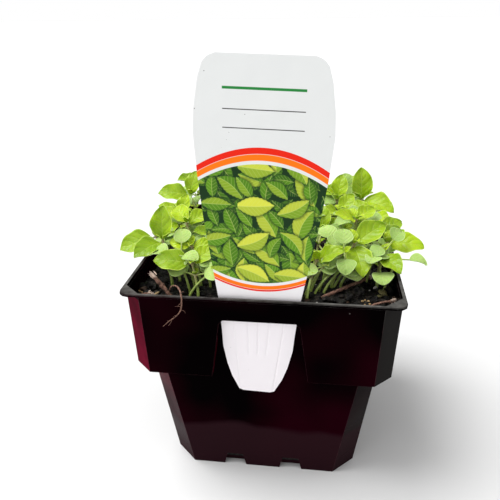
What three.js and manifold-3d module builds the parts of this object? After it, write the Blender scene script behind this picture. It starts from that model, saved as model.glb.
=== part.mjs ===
// Basil seedlings in a square plastic nursery pot, with a bare plant label in the rim's slot.
// Millimetres, +Z up. The origin is under the middle of the pot's base, and -Y is the label's side.
import * as THREE from 'three';
import Module from 'manifold-3d';
import { mergeVertices } from 'three/addons/utils/BufferGeometryUtils.js';

const wasm = await Module();
wasm.setup();

// ---------------------------------------------------------------- driving dimensions

const GAP = 0.3; // between pieces that touch
const WALL = 0.9; // the pot's wall
const FLOOR = 1.0;

const LIP = { half: 50, radius: 3.8, thick: 1.0, bevel: 0.3, mouthHalf: 48.8 };
const POT_HEIGHT = 85;
const BAND = { topHalf: 49.2, ledge: 51.5, ledgeHalf: 47.9, cut: 6.6 };
const BODY = { baseHalf: 37.5, baseCut: 8.6, ledgeHalf: 43.3, ledgeCut: 6.8 };
const RECESS = { top: 76, halfTop: 14.3, halfBottom: 17.8, corner: 1.4 };
const SLOT = { half: 14.4, inner: 46.2, outer: 47.95 };
const NOTCH = { centre: 11.5, halfBottom: 4.75, halfTop: 3.25, height: 6, back: 34.6, curb: 3.5 };

const SOIL_TOP = 78;
const SOIL_RELIEF = 0.9;
const SOIL_CELLS = 14;
const SOIL_LUMPS = 14;

const LABEL = { tilt: 6.6, lean: 2.2, rimY: -47.9, thick: 0.6 };
// half of the label's width at heights along it, measured from the rim
const LABEL_PROFILE = [
  [-42.8, 5.0], [-42.2, 6.6], [-36, 9.35], [-30, 11.1], [-22, 12.6], [-15, 13.0], [-1, 14.1],
  [16.5, 16.6], [30, 18.5], [45, 20.0], [58, 20.8], [65, 20.3], [73.5, 18.9], [77.6, 17.6],
  [79.4, 16.1], [80.3, 13.8],
];

const STEM = { radius: 0.7, depth: 6, free: 1.0 };
const STALK_HALF = 0.5;
const LEAF_HALF_THICK = 0.35;
const LEAF_ROOT = 0.25; // a leaf starts this far out from the middle of its stem
// outline: half width is sin(pi * t^low)^full; cup and arch as shares of the width and the length
const TRUE_LEAF = {
  stalk: 0.1, widthRatio: 0.64, low: 0.84, full: 0.62, cup: 0.24, arch: 0.07, wave: 0.04, rows: 5,
  across: [-1, 0, 1],
};
const SEED_LEAF = {
  stalk: 0.36, widthRatio: 1.1, low: 0.92, full: 0.5, cup: 0, arch: 0.03, wave: 0, rows: 3, across: [-1, 1],
  droops: true,
};
const SEED_LEAF_LENGTH = 11;
// leaves turn their upper faces towards the light, which comes from the label's side
const FACING = { roll: 36, droop: 22 };
const SEED_NODE = 0.6; // how far up the stem the seed leaves stand
const BUD = { height: 4, widest: 1.5, radius: 1.05, tip: 0.35 };

// seedlings seen past the label, where they stand: foot, crown, and the true leaves' turn, lift and length
const FRONT_SEEDLINGS = [
  { foot: [-24, -36], crown: [-27, -31, 89], leaves: [[-172, 8, 14.5], [31, 28, 11]], seeds: 12 },
  { foot: [-25, -27], crown: [-29, -22, 94], leaves: [[166, 14, 9], [-20, 6, 9.5]], seeds: 70 },
  { foot: [-36, -28], crown: [-41, -20, 93], leaves: [[101, 78, 14], [-111, -8, 14]] },
  { foot: [-34, -24], crown: [-46, -13, 90], leaves: [[-147, -14, 15], [47, 16, 11]] },
  { foot: [-29, -17], crown: [-34, -8, 94], leaves: [[38, 21, 10.5], [144, 24, 11.5]] },
  { foot: [-34, 4], crown: [-40, 8, 94], leaves: [[66, 61, 9.5], [180, 4, 10]] },
  { foot: [-35, 25], crown: [-41, 29, 96], leaves: [[-168, 9, 15], [57, 67, 12]] },
  { foot: [-17, -17], crown: [-22, -13, 92], leaves: [[52, 14, 9.5], [-128, 20, 9]] },
  { foot: [34, 25], crown: [38, 29, 96], leaves: [[105, 78, 15], [-32, -4, 16]], seeds: 100 },
  { foot: [25, 21], crown: [27, 25, 97], leaves: [[68, 66, 12], [-131, 40, 11]] },
  { foot: [24, 8], crown: [28, 12, 96], leaves: [[40, 44, 10], [-148, 6, 10]] },
  { foot: [18, -8], crown: [21, 0, 92], leaves: [[38, 14, 10.5], [113, 61, 11]] },
  { foot: [25, -24], crown: [33, -16, 93], leaves: [[27, 27, 14.7], [-75, -28, 15]] },
  { foot: [42, -23], crown: [43, -19, 90], leaves: [[-57, -8, 12], [112, 8, 10]] },
  { foot: [36, -13], crown: [46, -9, 89], leaves: [[-16, 6, 14.5], [58, 18, 12.5]] },
  { foot: [16, -34], crown: [19, -24, 89], leaves: [[-13, 31, 11.5], [162, 30, 9]], seeds: 10 },
  { foot: [-40, 15], crown: [-44, 17, 91], leaves: [[164, 25, 10], [-32, 0, 10]] },
  { foot: [40, 2], crown: [44, 2, 92], leaves: [[17, 12, 11.5], [144, 10, 11]] },
  { foot: [33, -4], crown: [34, -3, 98], leaves: [[41, 20, 10.5], [-150, 24, 10.5]] },
  { foot: [37, 12], crown: [41, 16, 94], leaves: [[-35, -6, 11.5], [159, 19, 10.5]] },
];
// feet of the seedlings behind the label and along the back
const REAR_FEET = [
  [-25, 38], [-6, 36], [12, 37], [-22, 17], [-4, 20], [12, 16], [-9, 2], [-4, -15], [-8, -31],
  [33, 39], [-41, 40], [7, -24],
];
const REAR = { sway: 4, low: 89, spread: 7, leafShort: 11, leafLong: 15 };

// two pieces of a seedling keep these distances from what stands near them
const BLADE_ROOM = 1.15;
const STEM_ROOM = 0.9;
const TWIG_ROOM = 1.5;
const FRONT_PLAY = 7; // degrees that a seedling may turn at each try
const REAR_PLAY = 31;

const TWIG_RIGHT = {
  radius: 0.8,
  path: [[21.4, -33.5, 78.9], [27, -29.3, 79.6], [33, -24.2, 80.2], [39.4, -19.4, 81]],
};
const TWIG_LEFT = { radius: 0.95, path: [[-33.4, -38, 77.6], [-36.4, -37, 81.2], [-41.3, -35.6, 86]] };
const ROOT_FIBRE = {
  radius: 0.42,
  path: [
    [-34.6, -37.6, 80.2], [-33.2, -39.6, 83.4], [-30.8, -42.6, 85.6], [-28.2, -47, 86.7],
    [-26.6, -50.6, 86.2], [-26.3, -51.5, 83.6], [-27.1, -51.3, 80.3], [-28.6, -51.1, 78.2],
    [-31.2, -50.9, 76], [-33.9, -50.8, 73.4],
  ],
};
const TWIGLET_LEFT = {
  radius: 0.5,
  path: [[-46.4, -40.2, 78.9], [-44.4, -38.4, 79.2], [-41.6, -37.4, 78.9]],
};
const TWIGLET_RIGHT = { radius: 0.55, path: [[37.6, -39.4, 79], [42.6, -36.4, 79.5], [47, -34.4, 79.2]] };

// ---------------------------------------------------------------- materials

const blackPlastic = new THREE.MeshStandardMaterial({ color: 0x1a1014, roughness: 0.3, metalness: 0 });
const compost = new THREE.MeshStandardMaterial({ color: 0x1e1813, roughness: 0.95, metalness: 0 });
const whitePlastic = new THREE.MeshStandardMaterial({ color: 0xeeebea, roughness: 0.45, metalness: 0 });
const dryWood = new THREE.MeshStandardMaterial({ color: 0x6e5340, roughness: 0.85, metalness: 0 });
const leafGreen = new THREE.MeshStandardMaterial({ color: 0x8fb84a, roughness: 0.5, metalness: 0 });

// ---------------------------------------------------------------- solids and meshes

function toSolid(geometry) {
  const bare = geometry.clone();
  bare.deleteAttribute('normal');
  bare.deleteAttribute('uv');
  const merged = mergeVertices(bare, 1e-4);
  const vertProperties = new Float32Array(merged.attributes.position.array);
  const triVerts = new Uint32Array(merged.index.array);
  return new wasm.Manifold(new wasm.Mesh({ numProp: 3, vertProperties, triVerts }));
}

function toMesh(name, solid, material) {
  const { vertProperties, triVerts } = solid.getMesh();
  const geometry = new THREE.BufferGeometry();
  geometry.setAttribute('position', new THREE.BufferAttribute(vertProperties, 3));
  geometry.setIndex(new THREE.BufferAttribute(triVerts, 1));
  geometry.computeVertexNormals();
  const mesh = new THREE.Mesh(geometry, material);
  mesh.name = name;
  return mesh;
}

function fromTriangles(positions, indices) {
  const geometry = new THREE.BufferGeometry();
  geometry.setAttribute('position', new THREE.Float32BufferAttribute(positions, 3));
  geometry.setIndex(indices);
  return geometry;
}

// a closed skin over level outlines of the same number of points, from the lowest to the highest
function loft(rings) {
  const count = rings[0].length;
  const indices = [];
  for (let ring = 0; ring + 1 < rings.length; ring += 1) {
    for (let i = 0; i < count; i += 1) {
      const a = ring * count + i;
      const b = ring * count + ((i + 1) % count);
      indices.push(a, b, b + count, a, b + count, a + count);
    }
  }
  const last = (rings.length - 1) * count;
  for (let i = 1; i + 1 < count; i += 1) {
    indices.push(0, i + 1, i);
    indices.push(last, last + i, last + i + 1);
  }
  return fromTriangles(rings.flat(2), indices);
}

// a prism from an outline in x and z, reaching from y0 to y1
function prismAlongY(outline, y0, y1) {
  const shape = new THREE.Shape(outline.map(([x, z]) => new THREE.Vector2(x, z)));
  const geometry = new THREE.ExtrudeGeometry(shape, { depth: y1 - y0, bevelEnabled: false, steps: 1 });
  geometry.rotateX(Math.PI / 2); // the outline's y becomes z and its depth runs towards -y
  geometry.translate(0, y1, 0);
  return geometry;
}

function tubeAlong(path, radius, sides, steps) {
  const shape = new THREE.Shape();
  for (let i = 0; i < sides; i += 1) {
    const angle = (2 * Math.PI * i) / sides;
    const corner = [radius * Math.cos(angle), radius * Math.sin(angle)];
    if (i === 0) shape.moveTo(...corner);
    else shape.lineTo(...corner);
  }
  const curve = new THREE.CatmullRomCurve3(path.map((point) => new THREE.Vector3(...point)));
  return new THREE.ExtrudeGeometry(shape, { steps, bevelEnabled: false, extrudePath: curve });
}

// ---------------------------------------------------------------- pot

function mix(from, to, share) {
  return from + (to - from) * share;
}

// a level square with its corners cut off, counter-clockwise from above
function cutSquare(half, cut, z) {
  const flat = half - cut;
  return [
    [flat, -half, z], [half, -flat, z], [half, flat, z], [flat, half, z],
    [-flat, half, z], [-half, flat, z], [-half, -flat, z], [-flat, -half, z],
  ];
}

const CUT_SHRINK = 2 - Math.SQRT2; // how fast a cut corner shortens as its square is set inwards

// the lower body tapers evenly, and its faces run on upwards as the recesses' backs
function bodyRing(z, inset) {
  const share = z / BAND.ledge;
  const half = mix(BODY.baseHalf, BODY.ledgeHalf, share);
  const cut = mix(BODY.baseCut, BODY.ledgeCut, share);
  return cutSquare(half - inset, cut - CUT_SHRINK * inset, z);
}

function bandRing(z, inset) {
  const share = (z - BAND.ledge) / (POT_HEIGHT - BAND.ledge);
  const half = mix(BAND.ledgeHalf, BAND.topHalf, share);
  return cutSquare(half - inset, BAND.cut - CUT_SHRINK * inset, z);
}

function lipRing(half, z) {
  const points = [];
  const turns = [-45, 45, 135, 225];
  for (const turn of turns) {
    const middle = THREE.MathUtils.degToRad(turn);
    const centre = half - LIP.radius;
    for (const swing of [-45, -15, 15, 45]) {
      const angle = middle + THREE.MathUtils.degToRad(swing);
      points.push([
        centre * Math.sign(Math.cos(middle)) + LIP.radius * Math.cos(angle),
        centre * Math.sign(Math.sin(middle)) + LIP.radius * Math.sin(angle),
        z,
      ]);
    }
  }
  return points;
}

// the recess on the -Y side, grown by a margin on both sides and at the top
function recessPrism(margin) {
  const { top, halfTop, halfBottom, corner } = RECESS;
  const low = BAND.ledge - 1;
  return prismAlongY(
    [
      [-halfBottom - margin, low], [halfBottom + margin, low], [halfTop + margin, top + margin - corner],
      [halfTop + margin - corner, top + margin], [-halfTop - margin + corner, top + margin],
      [-halfTop - margin, top + margin - corner],
    ],
    -LIP.half - 1,
    -BODY.baseHalf,
  );
}

// a drain notch's space on the -Y side, or the curb's block round it when grown by a margin
function notchPrism(centre, height, margin, back) {
  const { halfBottom, halfTop } = NOTCH;
  return prismAlongY(
    [
      [centre - halfBottom - margin, -1], [centre + halfBottom + margin, -1],
      [centre + halfTop + margin, height], [centre - halfTop - margin, height],
    ],
    -LIP.half - 1,
    -back,
  );
}

function onEachSide(makeGeometry) {
  const sides = [0, 1, 2, 3].map((turn) => toSolid(makeGeometry().rotateZ((turn * Math.PI) / 2)));
  return sides.reduce((all, side) => all.add(side));
}

// the pot's inside, or the soil's outer form when the inset is larger than the wall
function insideOfPot(inset) {
  const extra = inset - WALL;
  const band = toSolid(loft([
    bandRing(BAND.ledge + WALL + extra, inset),
    bandRing(POT_HEIGHT - LIP.thick, inset),
    cutSquare(LIP.mouthHalf - extra, BAND.cut - CUT_SHRINK * inset, POT_HEIGHT + 0.1),
  ])).subtract(onEachSide(() => recessPrism(inset)));
  const body = toSolid(loft([
    bodyRing(FLOOR + extra, inset),
    bodyRing(RECESS.top + inset + 0.05, inset),
  ]));
  let inside = band.add(body);
  for (const centre of [-NOTCH.centre, NOTCH.centre]) {
    const curb = () => notchPrism(centre, NOTCH.curb + extra, inset, NOTCH.back - inset);
    inside = inside.subtract(onEachSide(curb));
  }
  return inside;
}

function makePot() {
  const lip = toSolid(loft([
    lipRing(LIP.half, POT_HEIGHT - LIP.thick),
    lipRing(LIP.half, POT_HEIGHT - LIP.bevel),
    lipRing(LIP.half - LIP.bevel, POT_HEIGHT),
  ]));
  const band = toSolid(loft([bandRing(BAND.ledge, 0), bandRing(POT_HEIGHT - LIP.bevel, 0)]))
    .subtract(onEachSide(() => recessPrism(0)));
  const body = toSolid(loft([bodyRing(0, 0), bodyRing(RECESS.top + WALL, 0)]));
  let pot = body.add(band).add(lip).subtract(insideOfPot(WALL));
  for (const centre of [-NOTCH.centre, NOTCH.centre]) {
    pot = pot.subtract(onEachSide(() => notchPrism(centre, NOTCH.height, 0, NOTCH.back)));
  }
  const slotDepth = SLOT.outer - SLOT.inner;
  const slot = new THREE.BoxGeometry(2 * SLOT.half, slotDepth, 3);
  slot.translate(0, -(SLOT.inner + SLOT.outer) / 2, RECESS.top);
  return toMesh('pot', pot.subtract(toSolid(slot)), blackPlastic);
}

// ---------------------------------------------------------------- label

function labelSolid(margin) {
  const right = LABEL_PROFILE.map(([along, half]) => new THREE.Vector2(half + margin, along));
  const left = LABEL_PROFILE.map(([along, half]) => new THREE.Vector2(-half - margin, along)).reverse();
  const shape = new THREE.Shape([...right, ...left]);
  const depth = LABEL.thick + 2 * margin;
  const geometry = new THREE.ExtrudeGeometry(shape, { depth, bevelEnabled: false, steps: 1 });
  geometry.translate(0, 0, -depth / 2);
  geometry.rotateZ(THREE.MathUtils.degToRad(-LABEL.lean));
  geometry.rotateX(THREE.MathUtils.degToRad(90 + LABEL.tilt));
  geometry.translate(0, LABEL.rimY, POT_HEIGHT);
  return toSolid(geometry);
}

// ---------------------------------------------------------------- twigs

function twigSolid({ radius, path }, margin) {
  return toSolid(tubeAlong(path, radius + margin, 5, path.length + 1));
}

function leftTwigSolid(margin) {
  return twigSolid(TWIG_LEFT, margin).add(twigSolid(ROOT_FIBRE, margin));
}

// ---------------------------------------------------------------- chance, the same at every run

let drawn = 20240611;
function draw(low, high) {
  drawn = (drawn * 1664525 + 1013904223) % 4294967296;
  return low + ((high - low) * drawn) / 4294967296;
}

// ---------------------------------------------------------------- seedlings

function bladeHalfWidth(kind, length, t) {
  const blade = length * (1 - kind.stalk);
  const swell = Math.sin(Math.PI * Math.min(t, 1) ** kind.low);
  return 0.5 * kind.widthRatio * blade * Math.max(swell, 0) ** kind.full;
}

// a point of the blade in the leaf's own frame: x along it, y to its side, z out of its upper face
function bladePoint(kind, length, t, u, half) {
  const blade = length * (1 - kind.stalk);
  const y = u * half;
  const ripple = kind.wave * blade * Math.sin(4 * Math.PI * t + 2 * u) * u * u;
  const z = kind.cup * Math.abs(y) + 4 * kind.arch * blade * t * (1 - t) + ripple;
  return [length * kind.stalk + t * blade, y, z];
}

function leafMatrix(base, turn, lift, roll) {
  const a = THREE.MathUtils.degToRad(turn);
  const e = THREE.MathUtils.degToRad(lift);
  const r = THREE.MathUtils.degToRad(roll);
  const along = new THREE.Vector3(Math.cos(e) * Math.cos(a), Math.cos(e) * Math.sin(a), Math.sin(e));
  const flatSide = new THREE.Vector3(-Math.sin(a), Math.cos(a), 0);
  const flatUp = new THREE.Vector3().crossVectors(along, flatSide);
  const side = flatSide.clone().multiplyScalar(Math.cos(r)).addScaledVector(flatUp, Math.sin(r));
  const up = new THREE.Vector3().crossVectors(along, side);
  return new THREE.Matrix4().makeBasis(along, side, up).setPosition(...base);
}

// a leaf as one thin closed sheet, stalk and blade, whose two faces are split into triangles alike
function leafSheet({ kind, length }) {
  const columns = kind.across;
  const rows = [columns.map((u) => [LEAF_ROOT, u * STALK_HALF, 0])];
  for (let row = 0; row <= kind.rows; row += 1) {
    const t = row / kind.rows;
    const half = Math.max(bladeHalfWidth(kind, length, t), STALK_HALF);
    rows.push(columns.map((u) => bladePoint(kind, length, t, u, half)));
  }
  const upper = rows.flat().map(([x, y, z]) => [x, y, z + LEAF_HALF_THICK]);
  const lower = rows.flat().map(([x, y, z]) => [x, y, z - LEAF_HALF_THICK]);
  const width = columns.length;
  const face = upper.length;
  const last = rows.length - 1;
  const indices = [];
  const quad = (a, b, c, d) => indices.push(a, b, c, a, c, d);
  for (let row = 0; row < last; row += 1) {
    for (let column = 0; column + 1 < width; column += 1) {
      const a = row * width + column;
      const [b, c, d] = [a + width, a + width + 1, a + 1];
      quad(a, b, c, d);
      indices.push(face + a, face + c, face + b, face + a, face + d, face + c);
    }
    const left = row * width;
    const right = left + width - 1;
    quad(left, face + left, face + left + width, left + width);
    quad(right + width, face + right + width, face + right, right);
  }
  for (let column = 0; column + 1 < width; column += 1) {
    const tip = last * width + column;
    quad(column + 1, face + column + 1, face + column, column);
    quad(tip, face + tip, face + tip + 1, tip + 1);
  }
  return fromTriangles([...upper, ...lower].flat(), indices);
}

function leafSolid(leaf) {
  const matrix = leafMatrix(leaf.base, leaf.turn, leaf.lift, leaf.roll);
  return toSolid(leafSheet(leaf).applyMatrix4(matrix));
}

// the stem leaves the soil upright and bends over to its crown
function stemPoint(seedling, t) {
  const [footX, footY] = seedling.foot;
  const [crownX, crownY, crownZ] = seedling.crown;
  const start = [footX, footY, SOIL_TOP + STEM.free];
  const bend = [mix(footX, crownX, 0.3), mix(footY, crownY, 0.3), mix(start[2], crownZ, 0.6)];
  const end = [crownX, crownY, crownZ];
  const weights = [(1 - t) * (1 - t), 2 * t * (1 - t), t * t];
  return [0, 1, 2].map((i) => weights[0] * start[i] + weights[1] * bend[i] + weights[2] * end[i]);
}

// the stem, with the youngest pair of leaves still folded together as a bud at its tip
function stemSolid(seedling) {
  const [footX, footY] = seedling.foot;
  const [crownX, crownY, crownZ] = seedling.crown;
  const stem = [0, SEED_NODE / 2, SEED_NODE, 1].map((t) => [...stemPoint(seedling, t), STEM.radius]);
  const levels = [
    [footX, footY, SOIL_TOP - STEM.depth, STEM.radius],
    ...stem,
    [crownX, crownY, crownZ + BUD.widest, BUD.radius],
    [crownX, crownY, crownZ + BUD.height, BUD.tip],
  ];
  const corners = [[1, 0], [0, 1], [-1, 0], [0, -1]];
  return toSolid(loft(levels.map(([x, y, z, radius]) => corners.map((corner) => [
    x + corner[0] * radius, y + corner[1] * radius, z,
  ]))));
}

// a leaf turned to the light: one that points sideways rolls, one that points to the light droops
function facedLeaf(kind, base, [turn, lift, length], faced) {
  const about = THREE.MathUtils.degToRad(turn);
  const roll = FACING.roll * faced * Math.cos(about);
  const tipped = kind.droops ? FACING.droop * faced * Math.sin(about) : 0;
  return { kind, base, turn, lift: lift + tipped, length, roll };
}

function leavesOf(seedling) {
  const { crown, leaves, seedTurn, seedLift, faced } = seedling;
  const node = stemPoint(seedling, SEED_NODE);
  const seedLeaves = [0, 180].map((about) => [seedTurn + about, seedLift - about / 30, SEED_LEAF_LENGTH]);
  return [
    ...leaves.map((leaf) => facedLeaf(TRUE_LEAF, crown, leaf, faced)),
    ...seedLeaves.map((leaf) => facedLeaf(SEED_LEAF, node, leaf, faced)),
  ];
}

function seedlingSolid(seedling) {
  return leavesOf(seedling).reduce((plant, leaf) => plant.add(leafSolid(leaf)), stemSolid(seedling));
}

// ---------------------------------------------------------------- room between the seedlings

// points spread over a seedling, each with the room it keeps: [x, y, z, room, whether it is blade]
function feelers(seedling) {
  const points = [];
  for (let step = 0; step <= 10; step += 1) {
    points.push([...stemPoint(seedling, step / 10), STEM_ROOM, 0]);
  }
  for (const height of [1.6, 3.2]) {
    const [x, y, z] = seedling.crown;
    points.push([x, y, z + height, STEM_ROOM, 0]);
  }
  for (const leaf of leavesOf(seedling)) {
    const { kind, length } = leaf;
    const matrix = leafMatrix(leaf.base, leaf.turn, leaf.lift, leaf.roll);
    const place = (local, room, blade) => {
      const point = new THREE.Vector3(...local).applyMatrix4(matrix);
      points.push([point.x, point.y, point.z, room, blade]);
    };
    place([0.5 * kind.stalk * length, 0, 0], STEM_ROOM, 0);
    const rows = kind === TRUE_LEAF ? 7 : 4;
    for (let row = 0; row <= rows; row += 1) {
      const t = row / rows;
      const half = bladeHalfWidth(kind, length, t);
      for (const u of [-1, -0.5, 0, 0.5, 1]) {
        place(bladePoint(kind, length, t, u, half), BLADE_ROOM, 1);
      }
    }
  }
  return points;
}

// how far a point clears the soil, the pot's lip and the label
function roomAtPot([x, y, z, room, blade]) {
  const out = Math.max(Math.abs(x), Math.abs(y));
  const beside = Math.max(out - LIP.half, LIP.mouthHalf - WALL - out);
  const above = z - POT_HEIGHT;
  const lip = beside > 0 && above > 0 ? Math.hypot(beside, above) : Math.max(beside, above);
  const soil = blade && out < LIP.half ? z - SOIL_TOP - SOIL_RELIEF : Infinity;
  const tilt = THREE.MathUtils.degToRad(LABEL.tilt);
  const off = Math.abs((y - LABEL.rimY) * Math.cos(tilt) + (z - POT_HEIGHT) * Math.sin(tilt));
  const aside = Math.max(Math.abs(x) - 22, 0);
  return Math.min(lip, soil, Math.hypot(off, aside) - LABEL.thick / 2) - room;
}

// the least room between these points and what stands near, or anything below `enough` once it is short
function roomBetween(points, others, enough) {
  let least = Infinity;
  for (const [x, y, z, room, blade] of points) {
    least = Math.min(least, roomAtPot([x, y, z, room, blade]));
    for (const [otherX, otherY, otherZ, otherRoom] of others) {
      const apart = Math.sqrt((x - otherX) ** 2 + (y - otherY) ** 2 + (z - otherZ) ** 2);
      least = Math.min(least, apart - room - otherRoom);
    }
    if (least < enough) return least;
  }
  return least;
}

function turned(seedling, turn, rise, seedTurn) {
  const [x, y, z] = seedling.crown;
  return {
    ...seedling,
    crown: [x, y, z + rise],
    leaves: seedling.leaves.map(([about, lift, length]) => [about + turn, lift, length]),
    seedTurn: seedling.seedTurn + turn + seedTurn,
  };
}

// tries the seedling as it stands, then turned and raised a little, and keeps the first that fits
function settle(seedling, play, others) {
  let best = seedling;
  let most = -Infinity;
  for (const rise of [0, 2, -2, 4]) {
    for (const turn of [0, 1, -1, 2, -2]) {
      for (const seedTurn of [0, 20, -20, 40, -40, 60, -60]) {
        const trial = turned(seedling, turn * play, rise, seedTurn);
        const room = roomBetween(feelers(trial), others, most);
        if (room >= 0) return trial;
        if (room > most) {
          most = room;
          best = trial;
        }
      }
    }
  }
  return best;
}

function twigFeelers({ path }) {
  const curve = new THREE.CatmullRomCurve3(path.map((point) => new THREE.Vector3(...point)));
  return curve.getPoints(16).map((point) => [point.x, point.y, point.z, TWIG_ROOM, 0]);
}

function rearSeedling([footX, footY]) {
  const foot = [footX + draw(-1.5, 1.5), footY + draw(-1.5, 1.5)];
  const crown = [foot[0] + draw(-REAR.sway, REAR.sway), foot[1] + draw(-REAR.sway, REAR.sway), 0];
  crown[2] = REAR.low + draw(0, REAR.spread);
  const turn = draw(0, 360);
  const leaves = [0, 180].map((about) => [
    turn + about + draw(-12, 12), draw(8, 34), draw(REAR.leafShort, REAR.leafLong),
  ]);
  return { foot, crown, leaves };
}

function plantSeedlings() {
  const planted = [];
  const others = [TWIG_RIGHT, TWIG_LEFT, ROOT_FIBRE, TWIGLET_LEFT, TWIGLET_RIGHT].flatMap(twigFeelers);
  const plant = (seedling, play, faced) => {
    const grown = {
      ...seedling,
      seedTurn: (seedling.seeds ?? seedling.leaves[0][0] + 90) + draw(-15, 15),
      seedLift: draw(0, 24),
      faced,
    };
    const settled = settle(grown, play, others);
    planted.push(settled);
    others.push(...feelers(settled));
  };
  FRONT_SEEDLINGS.forEach((seedling) => plant(seedling, FRONT_PLAY, 1));
  REAR_FEET.forEach((foot) => plant(rearSeedling(foot), REAR_PLAY, 0.5));
  return planted;
}

// ---------------------------------------------------------------- soil

// a block whose upper face rises and falls, wide enough to fill the pot's mouth
function roughGround() {
  const positions = [];
  const indices = [];
  const side = SOIL_CELLS + 1;
  const reach = LIP.half;
  for (const top of [true, false]) {
    for (let row = 0; row < side; row += 1) {
      for (let column = 0; column < side; column += 1) {
        const x = mix(-reach, reach, column / SOIL_CELLS);
        const y = mix(-reach, reach, row / SOIL_CELLS);
        const rough = top ? SOIL_TOP + draw(-SOIL_RELIEF, SOIL_RELIEF) : -FLOOR;
        positions.push(x, y, rough);
      }
    }
  }
  const under = side * side;
  for (let row = 0; row < SOIL_CELLS; row += 1) {
    for (let column = 0; column < SOIL_CELLS; column += 1) {
      const a = row * side + column;
      const [b, c, d] = [a + 1, a + side + 1, a + side];
      indices.push(a, b, c, a, c, d);
      indices.push(under + a, under + c, under + b, under + a, under + d, under + c);
    }
  }
  const steps = [...Array(SOIL_CELLS).keys()];
  const rim = [
    ...steps,
    ...steps.map((step) => step * side + SOIL_CELLS),
    ...steps.map((step) => side * side - 1 - step),
    ...steps.map((step) => (SOIL_CELLS - step) * side),
  ];
  rim.forEach((a, step) => {
    const b = rim[(step + 1) % rim.length];
    indices.push(under + a, under + b, b, under + a, b, a);
  });
  return fromTriangles(positions, indices);
}

function soilSolid(seedlings, cutters) {
  let soil = toSolid(roughGround());
  for (let lump = 0; lump < SOIL_LUMPS; lump += 1) {
    const chip = new THREE.IcosahedronGeometry(1, 0);
    chip.scale(draw(1.2, 3), draw(1, 2), draw(1.1, 1.7));
    chip.rotateZ(draw(0, Math.PI));
    chip.translate(draw(-43, 43), draw(-43, 43), SOIL_TOP - SOIL_RELIEF / 3);
    soil = soil.add(toSolid(chip));
  }
  soil = soil.intersect(insideOfPot(WALL + GAP));
  for (const cutter of cutters) soil = soil.subtract(cutter);
  for (const { foot: [x, y] } of seedlings) {
    const depth = STEM.depth + GAP;
    const wide = STEM.radius + GAP * Math.SQRT2;
    const hole = new THREE.CylinderGeometry(wide, wide, depth + 6, 4);
    hole.rotateX(Math.PI / 2);
    hole.translate(x, y, SOIL_TOP - depth + (depth + 6) / 2);
    soil = soil.subtract(toSolid(hole));
  }
  return soil;
}

// ---------------------------------------------------------------- the whole plant in its pot

const pottedBasil = new THREE.Group();
pottedBasil.add(makePot());
pottedBasil.add(toMesh('label', labelSolid(0), whitePlastic));

const twigs = new THREE.Group();
twigs.add(toMesh('twig_right', twigSolid(TWIG_RIGHT, 0), dryWood));
twigs.add(toMesh('twig_left', leftTwigSolid(0), dryWood));
twigs.add(toMesh('twiglet_left', twigSolid(TWIGLET_LEFT, 0), dryWood));
twigs.add(toMesh('twiglet_right', twigSolid(TWIGLET_RIGHT, 0), dryWood));
pottedBasil.add(twigs);

const seedlings = plantSeedlings();
const basil = new THREE.Group();
seedlings.forEach((seedling, index) => {
  const number = String(index + 1).padStart(2, '0');
  basil.add(toMesh(`seedling_${number}`, seedlingSolid(seedling), leafGreen));
});
pottedBasil.add(basil);

const cutters = [
  labelSolid(GAP), twigSolid(TWIG_RIGHT, GAP), leftTwigSolid(GAP),
  twigSolid(TWIGLET_LEFT, GAP), twigSolid(TWIGLET_RIGHT, GAP),
];
pottedBasil.add(toMesh('soil', soilSolid(seedlings, cutters), compost));

export default pottedBasil;
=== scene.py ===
import itertools
import math
import random

import bmesh
import bpy
from mathutils import Matrix, Vector, kdtree, noise


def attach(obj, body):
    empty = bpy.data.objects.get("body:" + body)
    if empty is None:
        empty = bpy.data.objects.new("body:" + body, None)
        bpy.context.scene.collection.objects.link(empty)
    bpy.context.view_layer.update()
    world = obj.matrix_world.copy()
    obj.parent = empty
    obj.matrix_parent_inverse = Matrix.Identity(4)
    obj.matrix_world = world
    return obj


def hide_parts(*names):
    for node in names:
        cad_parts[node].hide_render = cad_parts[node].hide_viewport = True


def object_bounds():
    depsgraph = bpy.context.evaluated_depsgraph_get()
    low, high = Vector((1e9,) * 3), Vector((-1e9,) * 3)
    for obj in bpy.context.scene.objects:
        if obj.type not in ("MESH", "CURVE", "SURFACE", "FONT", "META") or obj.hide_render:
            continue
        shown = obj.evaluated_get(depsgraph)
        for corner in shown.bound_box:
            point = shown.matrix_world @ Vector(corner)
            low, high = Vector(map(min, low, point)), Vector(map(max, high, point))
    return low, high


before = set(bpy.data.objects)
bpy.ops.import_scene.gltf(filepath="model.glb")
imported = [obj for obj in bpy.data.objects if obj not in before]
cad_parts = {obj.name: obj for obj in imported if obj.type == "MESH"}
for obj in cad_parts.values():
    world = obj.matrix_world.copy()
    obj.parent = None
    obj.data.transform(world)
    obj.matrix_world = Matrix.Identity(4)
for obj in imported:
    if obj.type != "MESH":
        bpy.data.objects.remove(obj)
cad_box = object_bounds()

# ---------------------------------------------------------------- camera and studio
# A plain pale floor under soft overhead light, and a phone-like camera that looks a little down on
# the label. The camera's place is in the pot's own millimetres.

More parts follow.
